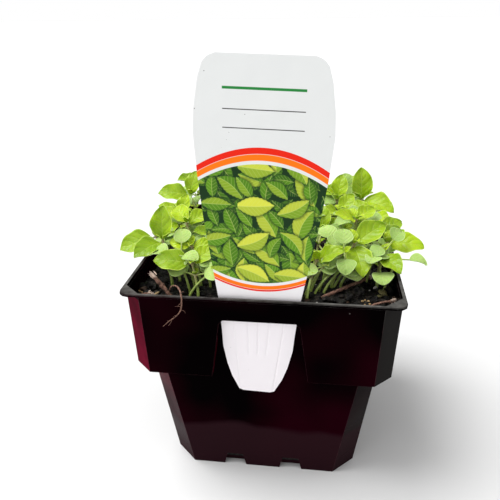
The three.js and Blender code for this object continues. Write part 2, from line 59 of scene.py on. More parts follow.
MM = 0.001
CAMERA_PLACE = (19.08, -214.74, 175.36)
CAMERA_YAW = 7.509
CAMERA_PITCH = -23.29
CAMERA_ROLL = -0.707
CAMERA_LENS = 39.96
SENSOR_WIDTH = 36
NEAREST_SEEN = 10
FLOOR_SIZE = 12000
FLOOR_COLOUR = (0.66, 0.66, 0.66, 1)
FLOOR_PALER = (0.70, 0.70, 0.70, 1)
FLOOR_GRAIN = 6.0
SKY_COLOUR = (1.0, 1.0, 1.0, 1)
SKY_SEEN = 1.0
SKY_SHED = 0.72
SKYLIGHT = {"from": (-0.5, 0.0, 1.0), "strength": 3.2, "spread": 40}
WINDOW = {"at": (-420, -420, 420), "faces": (0, 0, 80), "size": 420, "watts": 0.7}


def aim_camera():
    yaw = math.radians(CAMERA_YAW)
    pitch = math.radians(CAMERA_PITCH)
    roll = math.radians(CAMERA_ROLL)
    ahead = Vector((-math.sin(yaw) * math.cos(pitch), math.cos(yaw) * math.cos(pitch), math.sin(pitch)))
    right = Vector((math.cos(yaw), math.sin(yaw), 0))
    up = right.cross(ahead)
    across = right * math.cos(roll) + up * math.sin(roll)
    upright = up * math.cos(roll) - right * math.sin(roll)
    camera = bpy.data.objects.new("camera", bpy.data.cameras.new("camera"))
    bpy.context.scene.collection.objects.link(camera)
    camera.data.lens = CAMERA_LENS
    camera.data.sensor_width = SENSOR_WIDTH
    camera.data.clip_start = NEAREST_SEEN * MM
    turned = Matrix((across, upright, -ahead)).transposed().to_4x4()
    camera.matrix_world = Matrix.Translation(Vector(CAMERA_PLACE) * MM) @ turned
    bpy.context.scene.camera = camera


def plug(made, sockets):
    """Links a node's inputs, by name or number, to other nodes, or sets them to plain values."""
    for key, value in sockets.items():
        if isinstance(value, bpy.types.NodeSocket):
            made.id_data.links.new(value, made.inputs[key])
        else:
            made.inputs[key].default_value = value
    return made


def add_node(tree, kind, sockets=None, **settings):
    """One shader node with its own options set and its inputs plugged."""
    made = tree.nodes.new(kind)
    for key, value in settings.items():
        setattr(made, key, value)
    return plug(made, sockets or {})


def new_finish(name, **constants):
    """A material with its Principled shader, whose plain values go on the shader's own sockets."""
    finish = bpy.data.materials.new(name)
    finish.use_nodes = True
    shader = finish.node_tree.nodes["Principled BSDF"]
    for key, value in constants.items():
        shader.inputs[key.replace("_", " ")].default_value = value
    return finish, finish.node_tree, shader


def object_place(tree):
    return add_node(tree, "ShaderNodeTexCoord").outputs["Object"]


def mix_colours(share, first, second):
    """The second colour laid over the first by a share from 0 to 1."""
    made = add_node(share.id_data, "ShaderNodeMix", {
        "Factor": share, "A": first, "B": second,
    }, data_type="RGBA")
    return made.outputs["Result"]


def add_piece(bm, name, finishes, crease=40):
    """Makes the bmesh, which is in millimetres, an object in metres with smooth faces."""
    bmesh.ops.scale(bm, vec=(MM, MM, MM), verts=bm.verts)
    mesh = bpy.data.meshes.new(name)
    bm.to_mesh(mesh)
    bm.free()
    for finish in finishes:
        mesh.materials.append(finish)
    for face in mesh.polygons:
        face.use_smooth = True
    mesh.set_sharp_from_angle(angle=math.radians(crease))
    piece = bpy.data.objects.new(name, mesh)
    bpy.context.scene.collection.objects.link(piece)
    return piece


def lay_floor():
    bm = bmesh.new()
    bmesh.ops.create_grid(bm, x_segments=4, y_segments=4, size=FLOOR_SIZE)
    finish, tree, shader = new_finish("pale_paper", Roughness=0.9, Specular_IOR_Level=0.1)
    grain = add_node(tree, "ShaderNodeTexNoise", {"Vector": object_place(tree), "Scale": FLOOR_GRAIN})
    plug(shader, {"Base Color": mix_colours(grain.outputs["Fac"], FLOOR_COLOUR, FLOOR_PALER)})
    add_piece(bm, "studio_floor", [finish])


def hang_lamp(name, kind, strength):
    lamp = bpy.data.objects.new(name, bpy.data.lights.new(name, kind))
    bpy.context.scene.collection.objects.link(lamp)
    lamp.data.energy = strength
    return lamp


def light_studio():
    world = bpy.data.worlds.new("studio")
    bpy.context.scene.world = world
    world.use_nodes = True
    seen = add_node(world.node_tree, "ShaderNodeLightPath").outputs["Is Camera Ray"]
    strength = add_node(world.node_tree, "ShaderNodeMapRange", {
        "Value": seen, "To Min": SKY_SHED, "To Max": SKY_SEEN,
    })
    plug(world.node_tree.nodes["Background"], {
        "Color": SKY_COLOUR, "Strength": strength.outputs[0],
    })
    lamp = hang_lamp("skylight", "SUN", SKYLIGHT["strength"])
    lamp.data.angle = math.radians(SKYLIGHT["spread"])
    lamp.rotation_euler = Vector(SKYLIGHT["from"]).to_track_quat("Z", "Y").to_euler()
    lamp = hang_lamp("window", "AREA", WINDOW["watts"])
    lamp.data.shape = "SQUARE"
    lamp.data.size = WINDOW["size"] * MM
    lamp.location = Vector(WINDOW["at"]) * MM
    towards = Vector(WINDOW["faces"]) * MM - lamp.location
    lamp.rotation_euler = towards.to_track_quat("-Z", "Y").to_euler()


aim_camera()
lay_floor()
light_studio()
bpy.context.scene.view_settings.view_transform = "Standard"

# ---------------------------------------------------------------- pot
# The pot is one thin injection moulding in shiny black plastic with a wine-red cast. Its lip is turned
# out, the four corner blocks end in a ledge, and handling has scuffed its edges and dusted its lip. Its
# rounded edges also carry painted highlights, and its cut corners a painted red glow and a painted
# reflection.

CAD_POINTS_MERGE = 0.005
EDGE_POINTS_MERGE = 0.002
FLAT_WITHIN = 0.5
POT_EDGE = 0.42
POT_EDGE_ANGLE = 14
POT_BLACK = (0.0009, 0.0004, 0.0006, 1)
POT_WINE = (0.012, 0.0003, 0.0026, 1)
POT_GLOW = (0.15, 0.0004, 0.018, 1)
POT_PAINTED_REFLECTION = (0.016, 0.0150, 0.0145, 1)
POT_SPLASH = (0.022, 0.0082, 0.0112, 1)
# paler edges: wear from handling and painted highlight where light catches them, grey at the lip, pinkish
# lower down
POT_SCUFF_AND_SHEEN = (0.11, 0.105, 0.10, 1)
POT_ARRIS_SHEEN = (0.12, 0.05, 0.06, 1)
POT_DUST = (0.12, 0.116, 0.108, 1)
POT_SPECK = (0.08, 0.075, 0.07, 1)
WITNESS_HEIGHT = 7.0
WITNESS_HALF = 0.25
# the levels and the places across the pot between which a look comes or goes, in metres
GLOW_RISES = (0.030, 0.048)
GLOW_STOPS = (0.0828, 0.0822)
SPLASH_FADES = (0.0245, 0.0215)
ARRIS_SHEEN_TO_SCUFF = (0.074, 0.079)
LIP_LEVELS = (0.078, 0.084)
BACK_TO_FRONT = (0.02, -0.03)
RIGHT_TO_LEFT = (0.02, -0.045)
LEFT_TO_RIGHT = (0.02, 0.045)
# a cut corner faces both ways at once, so the product of its slopes is large
CUT_CORNER_SLOPES = (0.3, 0.42)


def new_group(name, inputs, outputs):
    """A shader node group with its named sockets, and its first and last node."""
    group = bpy.data.node_groups.new(name, "ShaderNodeTree")
    for sockets, way in ((inputs, "INPUT"), (outputs, "OUTPUT")):
        for socket, kind in sockets.items():
            group.interface.new_socket(socket, in_out=way, socket_type="NodeSocket" + kind)
    return group, group.nodes.new("NodeGroupInput"), group.nodes.new("NodeGroupOutput")


def add_group(tree, group, sockets):
    return add_node(tree, "ShaderNodeGroup", sockets, node_tree=group)


def reckon(operation, first, second=0.0, clamp=False):
    """One sum, in the node tree that its first or second value comes from."""
    tree = (first if isinstance(first, bpy.types.NodeSocket) else second).id_data
    made = add_node(tree, "ShaderNodeMath", {0: first, 1: second}, operation=operation, use_clamp=clamp)
    return made.outputs[0]


def plus(first, second, clamp=False):
    return reckon("ADD", first, second, clamp)


def minus(first, second, clamp=False):
    return reckon("SUBTRACT", first, second, clamp)


def times(first, second, clamp=False):
    return reckon("MULTIPLY", first, second, clamp)


def size_of(value):
    return reckon("ABSOLUTE", value)


def spread(value, low, high, to_low=0.0, to_high=1.0):
    """A value that runs from low to high, spread over another range and held at its ends."""
    made = add_node(value.id_data, "ShaderNodeMapRange", {
        "Value": value, "From Min": low, "From Max": high, "To Min": to_low, "To Max": to_high,
    })
    return made.outputs[0]


def grain_of(where, scale, detail=4.0, roughness=0.55):
    made = add_node(where.id_data, "ShaderNodeTexNoise", {
        "Vector": where, "Scale": scale, "Detail": detail, "Roughness": roughness,
    })
    return made.outputs["Fac"]


def painted(tree, name):
    """A value that the piece's mesh holds for each of its points or faces."""
    return add_node(tree, "ShaderNodeAttribute", attribute_name=name).outputs["Fac"]


def roughen(shader, height, strength, distance):
    bump = add_node(shader.id_data, "ShaderNodeBump", {
        "Height": height, "Strength": strength, "Distance": distance,
    })
    plug(shader, {"Normal": bump.outputs[0]})


def dust_group():
    """Small specks spread over a surface: inputs place, size of the field and share, output the specks."""
    group, start, end = new_group(
        "dust_specks", {"Vector": "Vector", "Scale": "Float", "Share": "Float"}, {"Specks": "Float"},
    )
    cells = add_node(group, "ShaderNodeTexVoronoi", {
        "Vector": start.outputs["Vector"], "Scale": start.outputs["Scale"],
    })
    chance = add_node(group, "ShaderNodeSeparateColor", {0: cells.outputs["Color"]})
    chosen = reckon("LESS_THAN", chance.outputs[0], start.outputs["Share"])
    reach = spread(chance.outputs[1], 0.0, 1.0, 0.06, 0.2)
    inside = reckon("LESS_THAN", cells.outputs["Distance"], reach)
    plug(end, {"Specks": times(chosen, inside)})
    return group


DUST_SPECKS = dust_group()


def pot_glow(cut_corner, place, where):
    """How much of the daylight shines red through the cut corners on the window's side."""
    lit_side = spread(place.outputs["X"], *RIGHT_TO_LEFT, 0.0, 0.8)
    lit_side = times(lit_side, spread(place.outputs["Y"], *BACK_TO_FRONT, 0.2, 1.0))
    glow = times(cut_corner, lit_side)
    glow = times(glow, spread(grain_of(where, 70.0, 2.0), 0.35, 0.6, 0.45, 1.0))
    glow = times(glow, spread(place.outputs["Z"], *GLOW_RISES, 0.25, 1.0))
    return times(glow, spread(place.outputs["Z"], *GLOW_STOPS))


def pot_relief(where, height):
    """The mould's witness line round the foot, fine scratches, and walls that aren't quite flat."""
    off_line = size_of(minus(height, WITNESS_HEIGHT * MM))
    witness = spread(off_line, 0.0, WITNESS_HALF * MM, 1.0, 0.0)
    drawn_out = add_node(where.id_data, "ShaderNodeMapping", {
        "Vector": where, "Rotation": (0.3, 0.5, 0.2), "Scale": (60.0, 900.0, 700.0),
    }).outputs[0]
    scratches = grain_of(drawn_out, 1.0, 3.0, 0.5)
    relief = plus(witness, times(scratches, 0.10))
    return plus(relief, times(grain_of(where, 35.0, 1.0), 0.9))


def black_plastic():
    finish, tree, shader = new_finish("black_moulded_plastic", Specular_IOR_Level=0.002)
    where = object_place(tree)
    place = add_node(tree, "ShaderNodeSeparateXYZ", {0: where})
    height = place.outputs["Z"]
    facing = add_node(tree, "ShaderNodeNewGeometry").outputs["Normal"]
    facing = add_node(tree, "ShaderNodeSeparateXYZ", {0: facing})
    cloud = spread(grain_of(where, 18.0, 2.0), 0.42, 0.62)
    colour = mix_colours(cloud, POT_BLACK, POT_WINE)
    cut_corner = size_of(times(facing.outputs["X"], facing.outputs["Y"]))
    cut_corner = spread(cut_corner, *CUT_CORNER_SLOPES)
    colour = mix_colours(pot_glow(cut_corner, place, where), colour, POT_GLOW)
    # painted reflection: the cut corners on the right are painted grey where the shiny plastic would mirror
    # the bright room
    far_side = spread(place.outputs["X"], *LEFT_TO_RIGHT)
    far_side = times(far_side, spread(place.outputs["Y"], *BACK_TO_FRONT))
    colour = mix_colours(times(cut_corner, far_side), colour, POT_PAINTED_REFLECTION)
    uneven = spread(grain_of(where, 25.0, 2.0), 0.3, 0.7, -0.003, 0.003)
    splashed = spread(plus(height, uneven), *SPLASH_FADES, 0.0, 0.8)
    colour = mix_colours(splashed, colour, POT_SPLASH)
    # wear and painted highlight: the rounded edges are painted paler, partly as scuffs and partly as painted
    # highlights
    wear_and_sheen = spread(grain_of(where, 260.0), 0.35, 0.7, 0.15, 1.0)
    wear_and_sheen = times(painted(tree, "edge_wear_and_sheen"), wear_and_sheen)
    scuff_and_sheen = mix_colours(spread(height, *ARRIS_SHEEN_TO_SCUFF), POT_ARRIS_SHEEN, POT_SCUFF_AND_SHEEN)
    colour = mix_colours(wear_and_sheen, colour, scuff_and_sheen)
    lying = times(spread(facing.outputs["Z"], 0.6, 0.95), spread(height, *LIP_LEVELS))
    settled = spread(grain_of(where, 130.0, 6.0, 0.7), 0.35, 0.68, 0.2, 1.0)
    film = times(lying, settled)
    colour = mix_colours(film, colour, POT_DUST)
    specks = add_group(tree, DUST_SPECKS, {"Vector": where, "Scale": 520.0, "Share": 0.012})
    colour = mix_colours(specks.outputs["Specks"], colour, POT_SPECK)
    rough = spread(grain_of(where, 60.0), 0.3, 0.75, 0.13, 0.26)
    rough = plus(rough, times(plus(wear_and_sheen, film, True), 0.35), True)
    plug(shader, {"Base Color": colour, "Roughness": rough})
    roughen(shader, pot_relief(where, height), 0.35, 0.0002)
    return finish


def solid_of(node):
    """The CAD node's mesh as a bmesh in millimetres, its loose triangles merged."""
    bm = bmesh.new()
    bm.from_mesh(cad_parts[node].data)
    bmesh.ops.scale(bm, vec=(1 / MM, 1 / MM, 1 / MM), verts=bm.verts)
    bmesh.ops.remove_doubles(bm, verts=bm.verts, dist=CAD_POINTS_MERGE)
    return bm


def mould_pot():
    bm = solid_of("pot")
    bmesh.ops.dissolve_limit(bm, angle_limit=math.radians(FLAT_WITHIN), verts=bm.verts, edges=bm.edges)
    bmesh.ops.recalc_face_normals(bm, faces=bm.faces)
    edge_wear_and_sheen = bm.faces.layers.float.new("edge_wear_and_sheen")
    corners = [
        edge for edge in bm.edges
        if edge.is_manifold and edge.calc_face_angle() > math.radians(POT_EDGE_ANGLE) and edge.is_convex
    ]
    rounded = bmesh.ops.bevel(
        bm, geom=corners, offset=POT_EDGE, offset_type="OFFSET", segments=2, profile=0.5,
        affect="EDGES", clamp_overlap=True, material=-1,
    )
    # the rounded edges are marked for paler paint, which is wear and painted highlight
    for face in rounded["faces"]:
        face[edge_wear_and_sheen] = 1.0
    bmesh.ops.remove_doubles(bm, verts=bm.verts, dist=EDGE_POINTS_MERGE)
    piece = add_piece(bm, "nursery_pot", [black_plastic()], 60)
    flat_walls = piece.modifiers.new("flat_walls", "WEIGHTED_NORMAL")
    flat_walls.mode = "FACE_AREA"
    flat_walls.keep_sharp = True
    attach(piece, "root")
    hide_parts("pot")


mould_pot()

# ---------------------------------------------------------------- compost
# Dark, damp, peaty seed compost fills the pot up to 7 mm under the lip and falls away a little from the
# walls. Crumbs and clods, root fibres, bark chips, bits of dead leaf, a few white grains of perlite and
# empty seed husks lie loose in it.

SOIL_TOP = 78
SOIL_CUT = 76.9
SOIL_HALF = 47.55
SOIL_CORNER = 5.9
SOIL_SQUARES = 120
SOIL_UNDER = 0.3
SOIL_LOWEST = -1.3
SOIL_HIGHEST = 1.25
# the walls and floors of the stem holes lie between these levels, inside this half width
STEM_HOLES = {"low": 66, "floor": 74, "high": 82, "half": 47}
# darker and lighter colour of each kind of bit, and its roughness
SOIL_FINISHES = {
    "damp_compost": ((0.0022, 0.0018, 0.0015, 1), (0.050, 0.037, 0.027, 1), 0.95),
    "bark_chip": ((0.03, 0.015, 0.008, 1), (0.09, 0.05, 0.028, 1), 0.85),
    "perlite": ((0.52, 0.50, 0.46, 1), (0.84, 0.82, 0.77, 1), 0.8),
    "seed_husk": ((0.34, 0.22, 0.10, 1), (0.66, 0.50, 0.28, 1), 0.7),
    "dead_leaf": ((0.08, 0.07, 0.025, 1), (0.24, 0.21, 0.08, 1), 0.8),
}
CRUMB, BARK, PERLITE, HUSK, DEAD_LEAF = range(5)
FIBRES = {"count": 46, "half": 43, "short": 1.5, "long": 4.0, "thin": 0.1, "thick": 0.24}
HANDFUL = 40
# bits strewn by chance: how many, their sizes from and to, how flat, how fine their mesh, what they are
STREWN_BITS = [
    (1500, 0.5, 1.5, 0.75, 1, CRUMB), (420, 1.5, 3.2, 0.6, 2, CRUMB), (70, 3.0, 5.0, 0.45, 2, CRUMB),
    (150, 0.8, 2.6, 0.3, 2, BARK), (120, 0.4, 0.9, 0.7, 1, BARK), (30, 0.3, 0.7, 0.8, 2, PERLITE),
]
# bits whose place is known: what they are, how flat, how fine, how proud of the ground, then place and size
KNOWN_BITS = [
    (CRUMB, 0.9, 3, 0.34, [
        ((42.6, -20.6), 5.0), ((37.4, -20.2), 4.0), ((46.0, -25.2), 3.6), ((35.0, -29.0), 3.8),
        ((31.4, -33.6), 3.0), ((28.4, -37.6), 3.4), ((47.6, -19.6), 3.6), ((40.6, -33.0), 2.8),
        ((33.4, -38.6), 2.6), ((43.8, -34.6), 2.4), ((-43.0, -31.0), 3.6), ((-38.4, -31.4), 3.0),
        ((-47.6, -30.6), 2.8), ((-30.6, -34.4), 3.4),
    ]),
    (PERLITE, 0.9, 2, 0.6, [
        ((41.2, -24.6), 1.5), ((42.2, -25.6), 1.0), ((44.6, -21.4), 0.8), ((19.8, -38.2), 0.9),
    ]),
    (DEAD_LEAF, 0.4, 2, 0.5, [((44.2, -28.3), 3.4), ((42.6, -30.2), 2.2), ((-37.0, -40.6), 2.0)]),
    (BARK, 0.6, 2, 0.5, [
        ((48.0, -30.2), 2.2), ((47.4, -32.8), 1.8), ((46.0, -34.8), 1.6), ((46.8, -15.4), 2.4),
    ]),
    (HUSK, 0.7, 2, 0.5, [
        ((36.1, -34.0), 0.95), ((37.2, -32.4), 0.95), ((38.3, -33.9), 0.95), ((36.8, -35.8), 0.95),
        ((38.6, -35.7), 0.95), ((37.6, -37.2), 0.95),
    ]),
    (HUSK, 0.5, 2, 0.16, [((-40.5, -35.1), 2.4)]),
    (BARK, 0.8, 2, 0.16, [((-45.6, -33.0), 2.2)]),
    (HUSK, 0.7, 2, 0.5, [((-47.2, -34.4), 1.1), ((-46.0, -35.4), 1.1), ((-44.8, -33.6), 1.1)]),
]
STREWN_PROUD = 0.16
STREWN_HALF = 45.5
STREWN_CORNER = 3


def compost_finish(name, dark, light, rough):
    """Clotted crumbs of one kind of bit, some wet and some dry, each crumb a little paler or darker."""
    finish, tree, shader = new_finish(name, Specular_IOR_Level=0.22)
    where = object_place(tree)
    crumbs = add_node(tree, "ShaderNodeTexVoronoi", {"Vector": where, "Scale": 820.0})
    paler = add_node(tree, "ShaderNodeSeparateColor", {0: crumbs.outputs["Color"]}).outputs[0]
    clumps = spread(grain_of(where, 420.0, 6.0, 0.7), 0.48, 0.74)
    clumps = times(clumps, spread(paler, 0.3, 1.0, 0.25, 1.6), True)
    wet = spread(grain_of(where, 700.0), 0.36, 0.62, rough - 0.6, rough)
    plug(shader, {"Base Color": mix_colours(clumps, dark, light), "Roughness": wet})
    fine = plus(grain_of(where, 1500.0, 5.0, 0.7), grain_of(where, 500.0, 3.0))
    fine = minus(fine, times(crumbs.outputs["Distance"], 0.8))
    roughen(shader, fine, 0.9, 0.0005)
    return finish


def ground_height(x, y):
    """The compost's surface: broad swells and crumbs between them, in millimetres above SOIL_TOP."""
    swell = noise.noise(Vector((x, y, 0)) / 17.0) * 0.9
    clods = noise.fractal(Vector((x, y, 5)) / 4.5, 1.0, 2.1, 3) * 0.9
    crumbs = 0.5 - noise.voronoi(Vector((x, y, 9)) / 2.4)[0][0]
    return max(SOIL_LOWEST, min(swell + clods + crumbs * 0.9, SOIL_HIGHEST))


def verts_of(geom):
    return [part for part in geom if isinstance(part, bmesh.types.BMVert)]


def join(bm, other):
    mesh = bpy.data.meshes.new("joined")
    other.to_mesh(mesh)
    other.free()
    bm.from_mesh(mesh)
    bpy.data.meshes.remove(mesh)


def open_solid(bm):
    """Takes the stem holes and the rough top off the solid, and closes it flat."""
    stem_holes = []
    for face in bm.faces:
        levels = [vert.co.z for vert in face.verts]
        inside = all(max(abs(vert.co.x), abs(vert.co.y)) < STEM_HOLES["half"] for vert in face.verts)
        between = STEM_HOLES["low"] < min(levels) and max(levels) < STEM_HOLES["high"]
        if inside and between and (face.normal.z < 0.2 or max(levels) < STEM_HOLES["floor"]):
            stem_holes.append(face)
    bmesh.ops.delete(bm, geom=stem_holes, context="FACES")
    bmesh.ops.bisect_plane(
        bm, geom=[*bm.verts, *bm.edges, *bm.faces], plane_co=(0, 0, SOIL_CUT), plane_no=(0, 0, 1),
        clear_outer=True,
    )
    bmesh.ops.holes_fill(bm, edges=[edge for edge in bm.edges if edge.is_boundary])


def rake_bed(bm):
    """The rough top: a fine grid cut off at its corners, raised to the ground's height and closed below."""
    bed = bmesh.ops.create_grid(
        bm, x_segments=SOIL_SQUARES, y_segments=SOIL_SQUARES, size=SOIL_HALF,
    )["verts"]
    bed_faces = list({face for vert in bed for face in vert.link_faces})
    reach = (2 * SOIL_HALF - SOIL_CORNER) / math.sqrt(2)
    for turn in (45, 135, 225, 315):
        outward = Vector((math.cos(math.radians(turn)), math.sin(math.radians(turn)), 0))
        corners = {vert for face in bed_faces for vert in face.verts}
        sides = {edge for face in bed_faces for edge in face.edges}
        kept = bmesh.ops.bisect_plane(
            bm, geom=[*corners, *sides, *bed_faces], plane_co=outward * reach, plane_no=outward,
            clear_outer=True,
        )["geom"]
        bed_faces = [part for part in kept if isinstance(part, bmesh.types.BMFace) and part.is_valid]
    skirt = bmesh.ops.extrude_face_region(bm, geom=bed_faces, use_keep_orig=True)["geom"]
    for vert in verts_of(skirt):
        vert.co.z = SOIL_TOP + ground_height(vert.co.x, vert.co.y)
    for vert in {vert for face in bed_faces for vert in face.verts}:
        vert.co.z = SOIL_CUT - SOIL_UNDER


def drop_bit(bm, dice, at, size, flat, fineness, kind, proud):
    """One irregular bit: a small icosphere pushed about, flattened and sunk into the ground."""
    ball = bmesh.ops.create_icosphere(bm, subdivisions=fineness, radius=0.5)["verts"]
    turn = Matrix.Rotation(dice.uniform(0, 6.28), 4, "Z") @ Matrix.Rotation(dice.uniform(-0.5, 0.5), 4, "X")
    long_way = dice.uniform(0.75, 1.35)
    shift = Vector((dice.uniform(0, 90), dice.uniform(0, 90), dice.uniform(0, 90)))
    for vert in ball:
        vert.co *= 1 + 0.75 * noise.noise(vert.co * 2.6 + shift)
        vert.co = Vector((vert.co.x * size * long_way, vert.co.y * size / long_way, vert.co.z * size * flat))
    x, y = at
    z = SOIL_TOP + ground_height(x, y) + size * flat * proud
    bmesh.ops.transform(bm, matrix=Matrix.Translation((x, y, z)) @ turn, verts=ball)
    for face in {face for vert in ball for face in vert.link_faces}:
        face.material_index = kind


def strew_bits(bm, dice, count, smallest, largest, flat, fineness, kind):
    """Bits strewn over the pot's mouth, a handful at a time, each handful then joined to the rest."""
    while count > 0:
        handful = bmesh.new()
        for _ in range(min(count, HANDFUL)):
            at = (dice.uniform(-STREWN_HALF, STREWN_HALF), dice.uniform(-STREWN_HALF, STREWN_HALF))
            if abs(at[0]) + abs(at[1]) < 2 * SOIL_HALF - SOIL_CORNER - STREWN_CORNER:
                size = dice.uniform(smallest, largest)
                drop_bit(handful, dice, at, size, flat, fineness, kind, STREWN_PROUD)
        join(bm, handful)
        count -= HANDFUL


def smooth_path(path, steps):
    """Points on the centripetal curve through a path, evenly shared between its spans."""
    points = [Vector(point) for point in path]
    points = [2 * points[0] - points[1], *points, 2 * points[-1] - points[-2]]
    spans = len(points) - 3
    curve = []
    for step in range(steps + 1):
        run = spans * step / steps
        span = min(int(run), spans - 1)
        share = run - span
        before, start, end, after = points[span:span + 4]
        gaps = [(b - a).length ** 0.5 for a, b in ((before, start), (start, end), (end, after))]
        leave = (start - before) / gaps[0] - (end - before) / (gaps[0] + gaps[1]) + (end - start) / gaps[1]
        arrive = (end - start) / gaps[1] - (after - start) / (gaps[1] + gaps[2]) + (after - end) / gaps[2]
        leave *= gaps[1]
        arrive *= gaps[1]
        curve.append(
            start + leave * share
            + (3 * (end - start) - 2 * leave - arrive) * share ** 2
            + (2 * (start - end) + leave + arrive) * share ** 3
        )
    return curve


def grow_stick(bm, centres, radii, sides, kind=0):
    """A closed round stick: a ring drawn out from centre to centre, then filled at both ends. The layer
    "straight" holds each point's place on the stick as if it were straight."""
    straight = bm.verts.layers.float_vector.get("straight") or bm.verts.layers.float_vector.new("straight")
    run = 0.0
    ring = bmesh.ops.create_circle(bm, segments=sides, radius=1)["verts"]
    grown = list(ring)
    edges = list({edge for vert in ring for edge in vert.link_edges})
    first_edges = list(edges)
    heading = (centres[1] - centres[0]).normalized()
    turned = Vector((0, 0, 1)).rotation_difference(heading).to_matrix()
    shape = {vert: vert.co.copy() for vert in ring}
    for step, centre in enumerate(centres):
        if step:
            run += (centre - centres[step - 1]).length
            ahead = centres[min(step + 1, len(centres) - 1)] - centres[step - 1]
            ahead.normalize()
            turned = heading.rotation_difference(ahead).to_matrix() @ turned
            heading = ahead
            drawn_out = bmesh.ops.extrude_edge_only(bm, edges=edges)["geom"]
            edges = [part for part in drawn_out if isinstance(part, bmesh.types.BMEdge)]
            below = shape
            shape = {}
            for vert in verts_of(drawn_out):
                others = [edge.other_vert(vert) for edge in vert.link_edges]
                shape[vert] = below[next(other for other in others if other in below)]
            grown += shape
        for vert, on_ring in shape.items():
            vert.co = centre + turned @ (on_ring * radii[step])
            vert[straight] = Vector((on_ring.x * radii[step], on_ring.y * radii[step], run))
    bmesh.ops.edgeloop_fill(bm, edges=first_edges)
    bmesh.ops.edgeloop_fill(bm, edges=edges)
    faces = {face for vert in grown for face in vert.link_faces}
    bmesh.ops.recalc_face_normals(bm, faces=list(faces))
    for face in faces:
        face.material_index = kind


def lay_fibres(bm, dice):
    """Thin crooked root fibres and straws that lie over the compost and dip into it."""
    fibres = bmesh.new()
    for _ in range(FIBRES["count"]):
        x, y = dice.uniform(-FIBRES["half"], FIBRES["half"]), dice.uniform(-FIBRES["half"], FIBRES["half"])
        about = dice.uniform(0, 2 * math.pi)
        half = dice.uniform(FIBRES["short"], FIBRES["long"])
        way = Vector((math.cos(about), math.sin(about), 0))
        sideways = Vector((-way.y, way.x, 0))
        path = []
        for share in (-1, -0.4, 0.3, 1):
            spot = Vector((x, y, 0)) + way * half * share + sideways * dice.uniform(-0.7, 0.7)
            rise = 0.5 - 1.1 * abs(share) + dice.uniform(-0.2, 0.4)
            path.append(Vector((spot.x, spot.y, SOIL_TOP + ground_height(spot.x, spot.y) + rise)))
        thick = dice.uniform(FIBRES["thin"], FIBRES["thick"])
        radii = [thick * (1 - 0.05 * step) for step in range(10)]
        grow_stick(fibres, smooth_path(path, 9), radii, 5, BARK)
    join(bm, fibres)


def fill_compost():
    dice = random.Random(41)
    bm = solid_of("soil")
    open_solid(bm)
    rake_bed(bm)
    lay_fibres(bm, dice)
    for bits in STREWN_BITS:
        strew_bits(bm, dice, *bits)
    known = bmesh.new()
    for kind, flat, fineness, proud, bits in KNOWN_BITS:
        for at, size in bits:
            drop_bit(known, dice, at, size, flat, fineness, kind, proud)
    join(bm, known)
    bmesh.ops.recalc_face_normals(bm, faces=bm.faces)
    finishes = [compost_finish(name, *look) for name, look in SOIL_FINISHES.items()]
    piece = add_piece(bm, "compost", finishes, 60)
    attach(piece, "root")
    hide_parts("soil")


fill_compost()

# ---------------------------------------------------------------- plant label
# A die-cut tag of thin white plastic. Its pointed foot goes down inside the front of the pot and comes out
# through the slot in the front recess. The foot has creases and three pressed grooves that stiffen it, and
# the front is printed with a plain leaf pattern between two curved bands.

LABEL_TILT = 6.6
LABEL_LEAN = 2.2
LABEL_RIM_Y = -47.9
LABEL_RIM_Z = 85
LABEL_THICK = 0.36
LABEL_COLUMNS = 96
LABEL_ROWS = 190
# half of the label's width at heights along it, measured from the pot's rim
LABEL_OUTLINE = [
    (-42.8, 5.0), (-42.2, 6.6), (-36, 9.35), (-30, 11.1), (-22, 12.6), (-15, 13.0), (-1, 14.1),
    (16.5, 16.6), (30, 18.5), (45, 20.0), (58, 20.8), (65, 20.3), (73.5, 18.9), (77.6, 17.6),
    (79.4, 16.1), (80.3, 13.8),
]
# each groove's place across the label is given where the groove starts and where it ends
GROOVES = {
    "ends": -25.7, "starts": -2.0, "ease": 12, "half": 0.55, "depth": 0.3,
    "at": [(-3.75, -3.2), (0, 0), (4.4, 3.1)],
}
CREASES = {"top": (-9.0, 9.2), "tip": (-42.0, 6.1), "past_top": 1.2, "half": 0.42, "depth": 0.24}
LABEL_WHITE = (0.765, 0.78, 0.775, 1)
# painted light: the foot is painted whiter and a little pinker than the top, for the brighter light on it
LABEL_FOOT_PAINTED_LIGHT = (0.88, 0.84, 0.87, 1)
LABEL_STAIN = (0.74, 0.71, 0.66, 1)
LABEL_DIRT = (0.02, 0.015, 0.012, 1)
FOOT_PAINTED_LIGHT_COMES = (20.0, -6.0)
PRINT_RED = (0.82, 0.018, 0.004, 1)
PRINT_ORANGE = (0.98, 0.19, 0.004, 1)
PRINT_SHADOW = (0.008, 0.035, 0.008, 1)
PRINT_GREEN = (0.02, 0.23, 0.045, 1)
PRINT_GREY = (0.02, 0.02, 0.02, 1)
PRINT_BLUR = 0.12
# the bands' outer edges at the middle of the label, and how far they sag towards its sides
BAND_EDGES = {"top": 54.0, "foot": 3.0}
BAND_SAG = 0.0165
# each band from and to its distances in from an outer edge, and how far in the leaf field begins
BANDS = [
    ("top", 0.0, 2.1, PRINT_RED), ("top", 2.1, 4.2, PRINT_ORANGE),
    ("foot", 0.8, 2.4, PRINT_ORANGE), ("foot", 0.0, 0.8, PRINT_RED),
]
FIELD_BEGINS = {"top": 5.2, "foot": 3.4}
# height and half thickness of the ruled lines
RULED_LINES = [(71.0, 0.45, PRINT_GREEN), (65.0, 0.2, PRINT_GREY), (59.5, 0.2, PRINT_GREY)]
RULED_HALF_LENGTH = 12.0
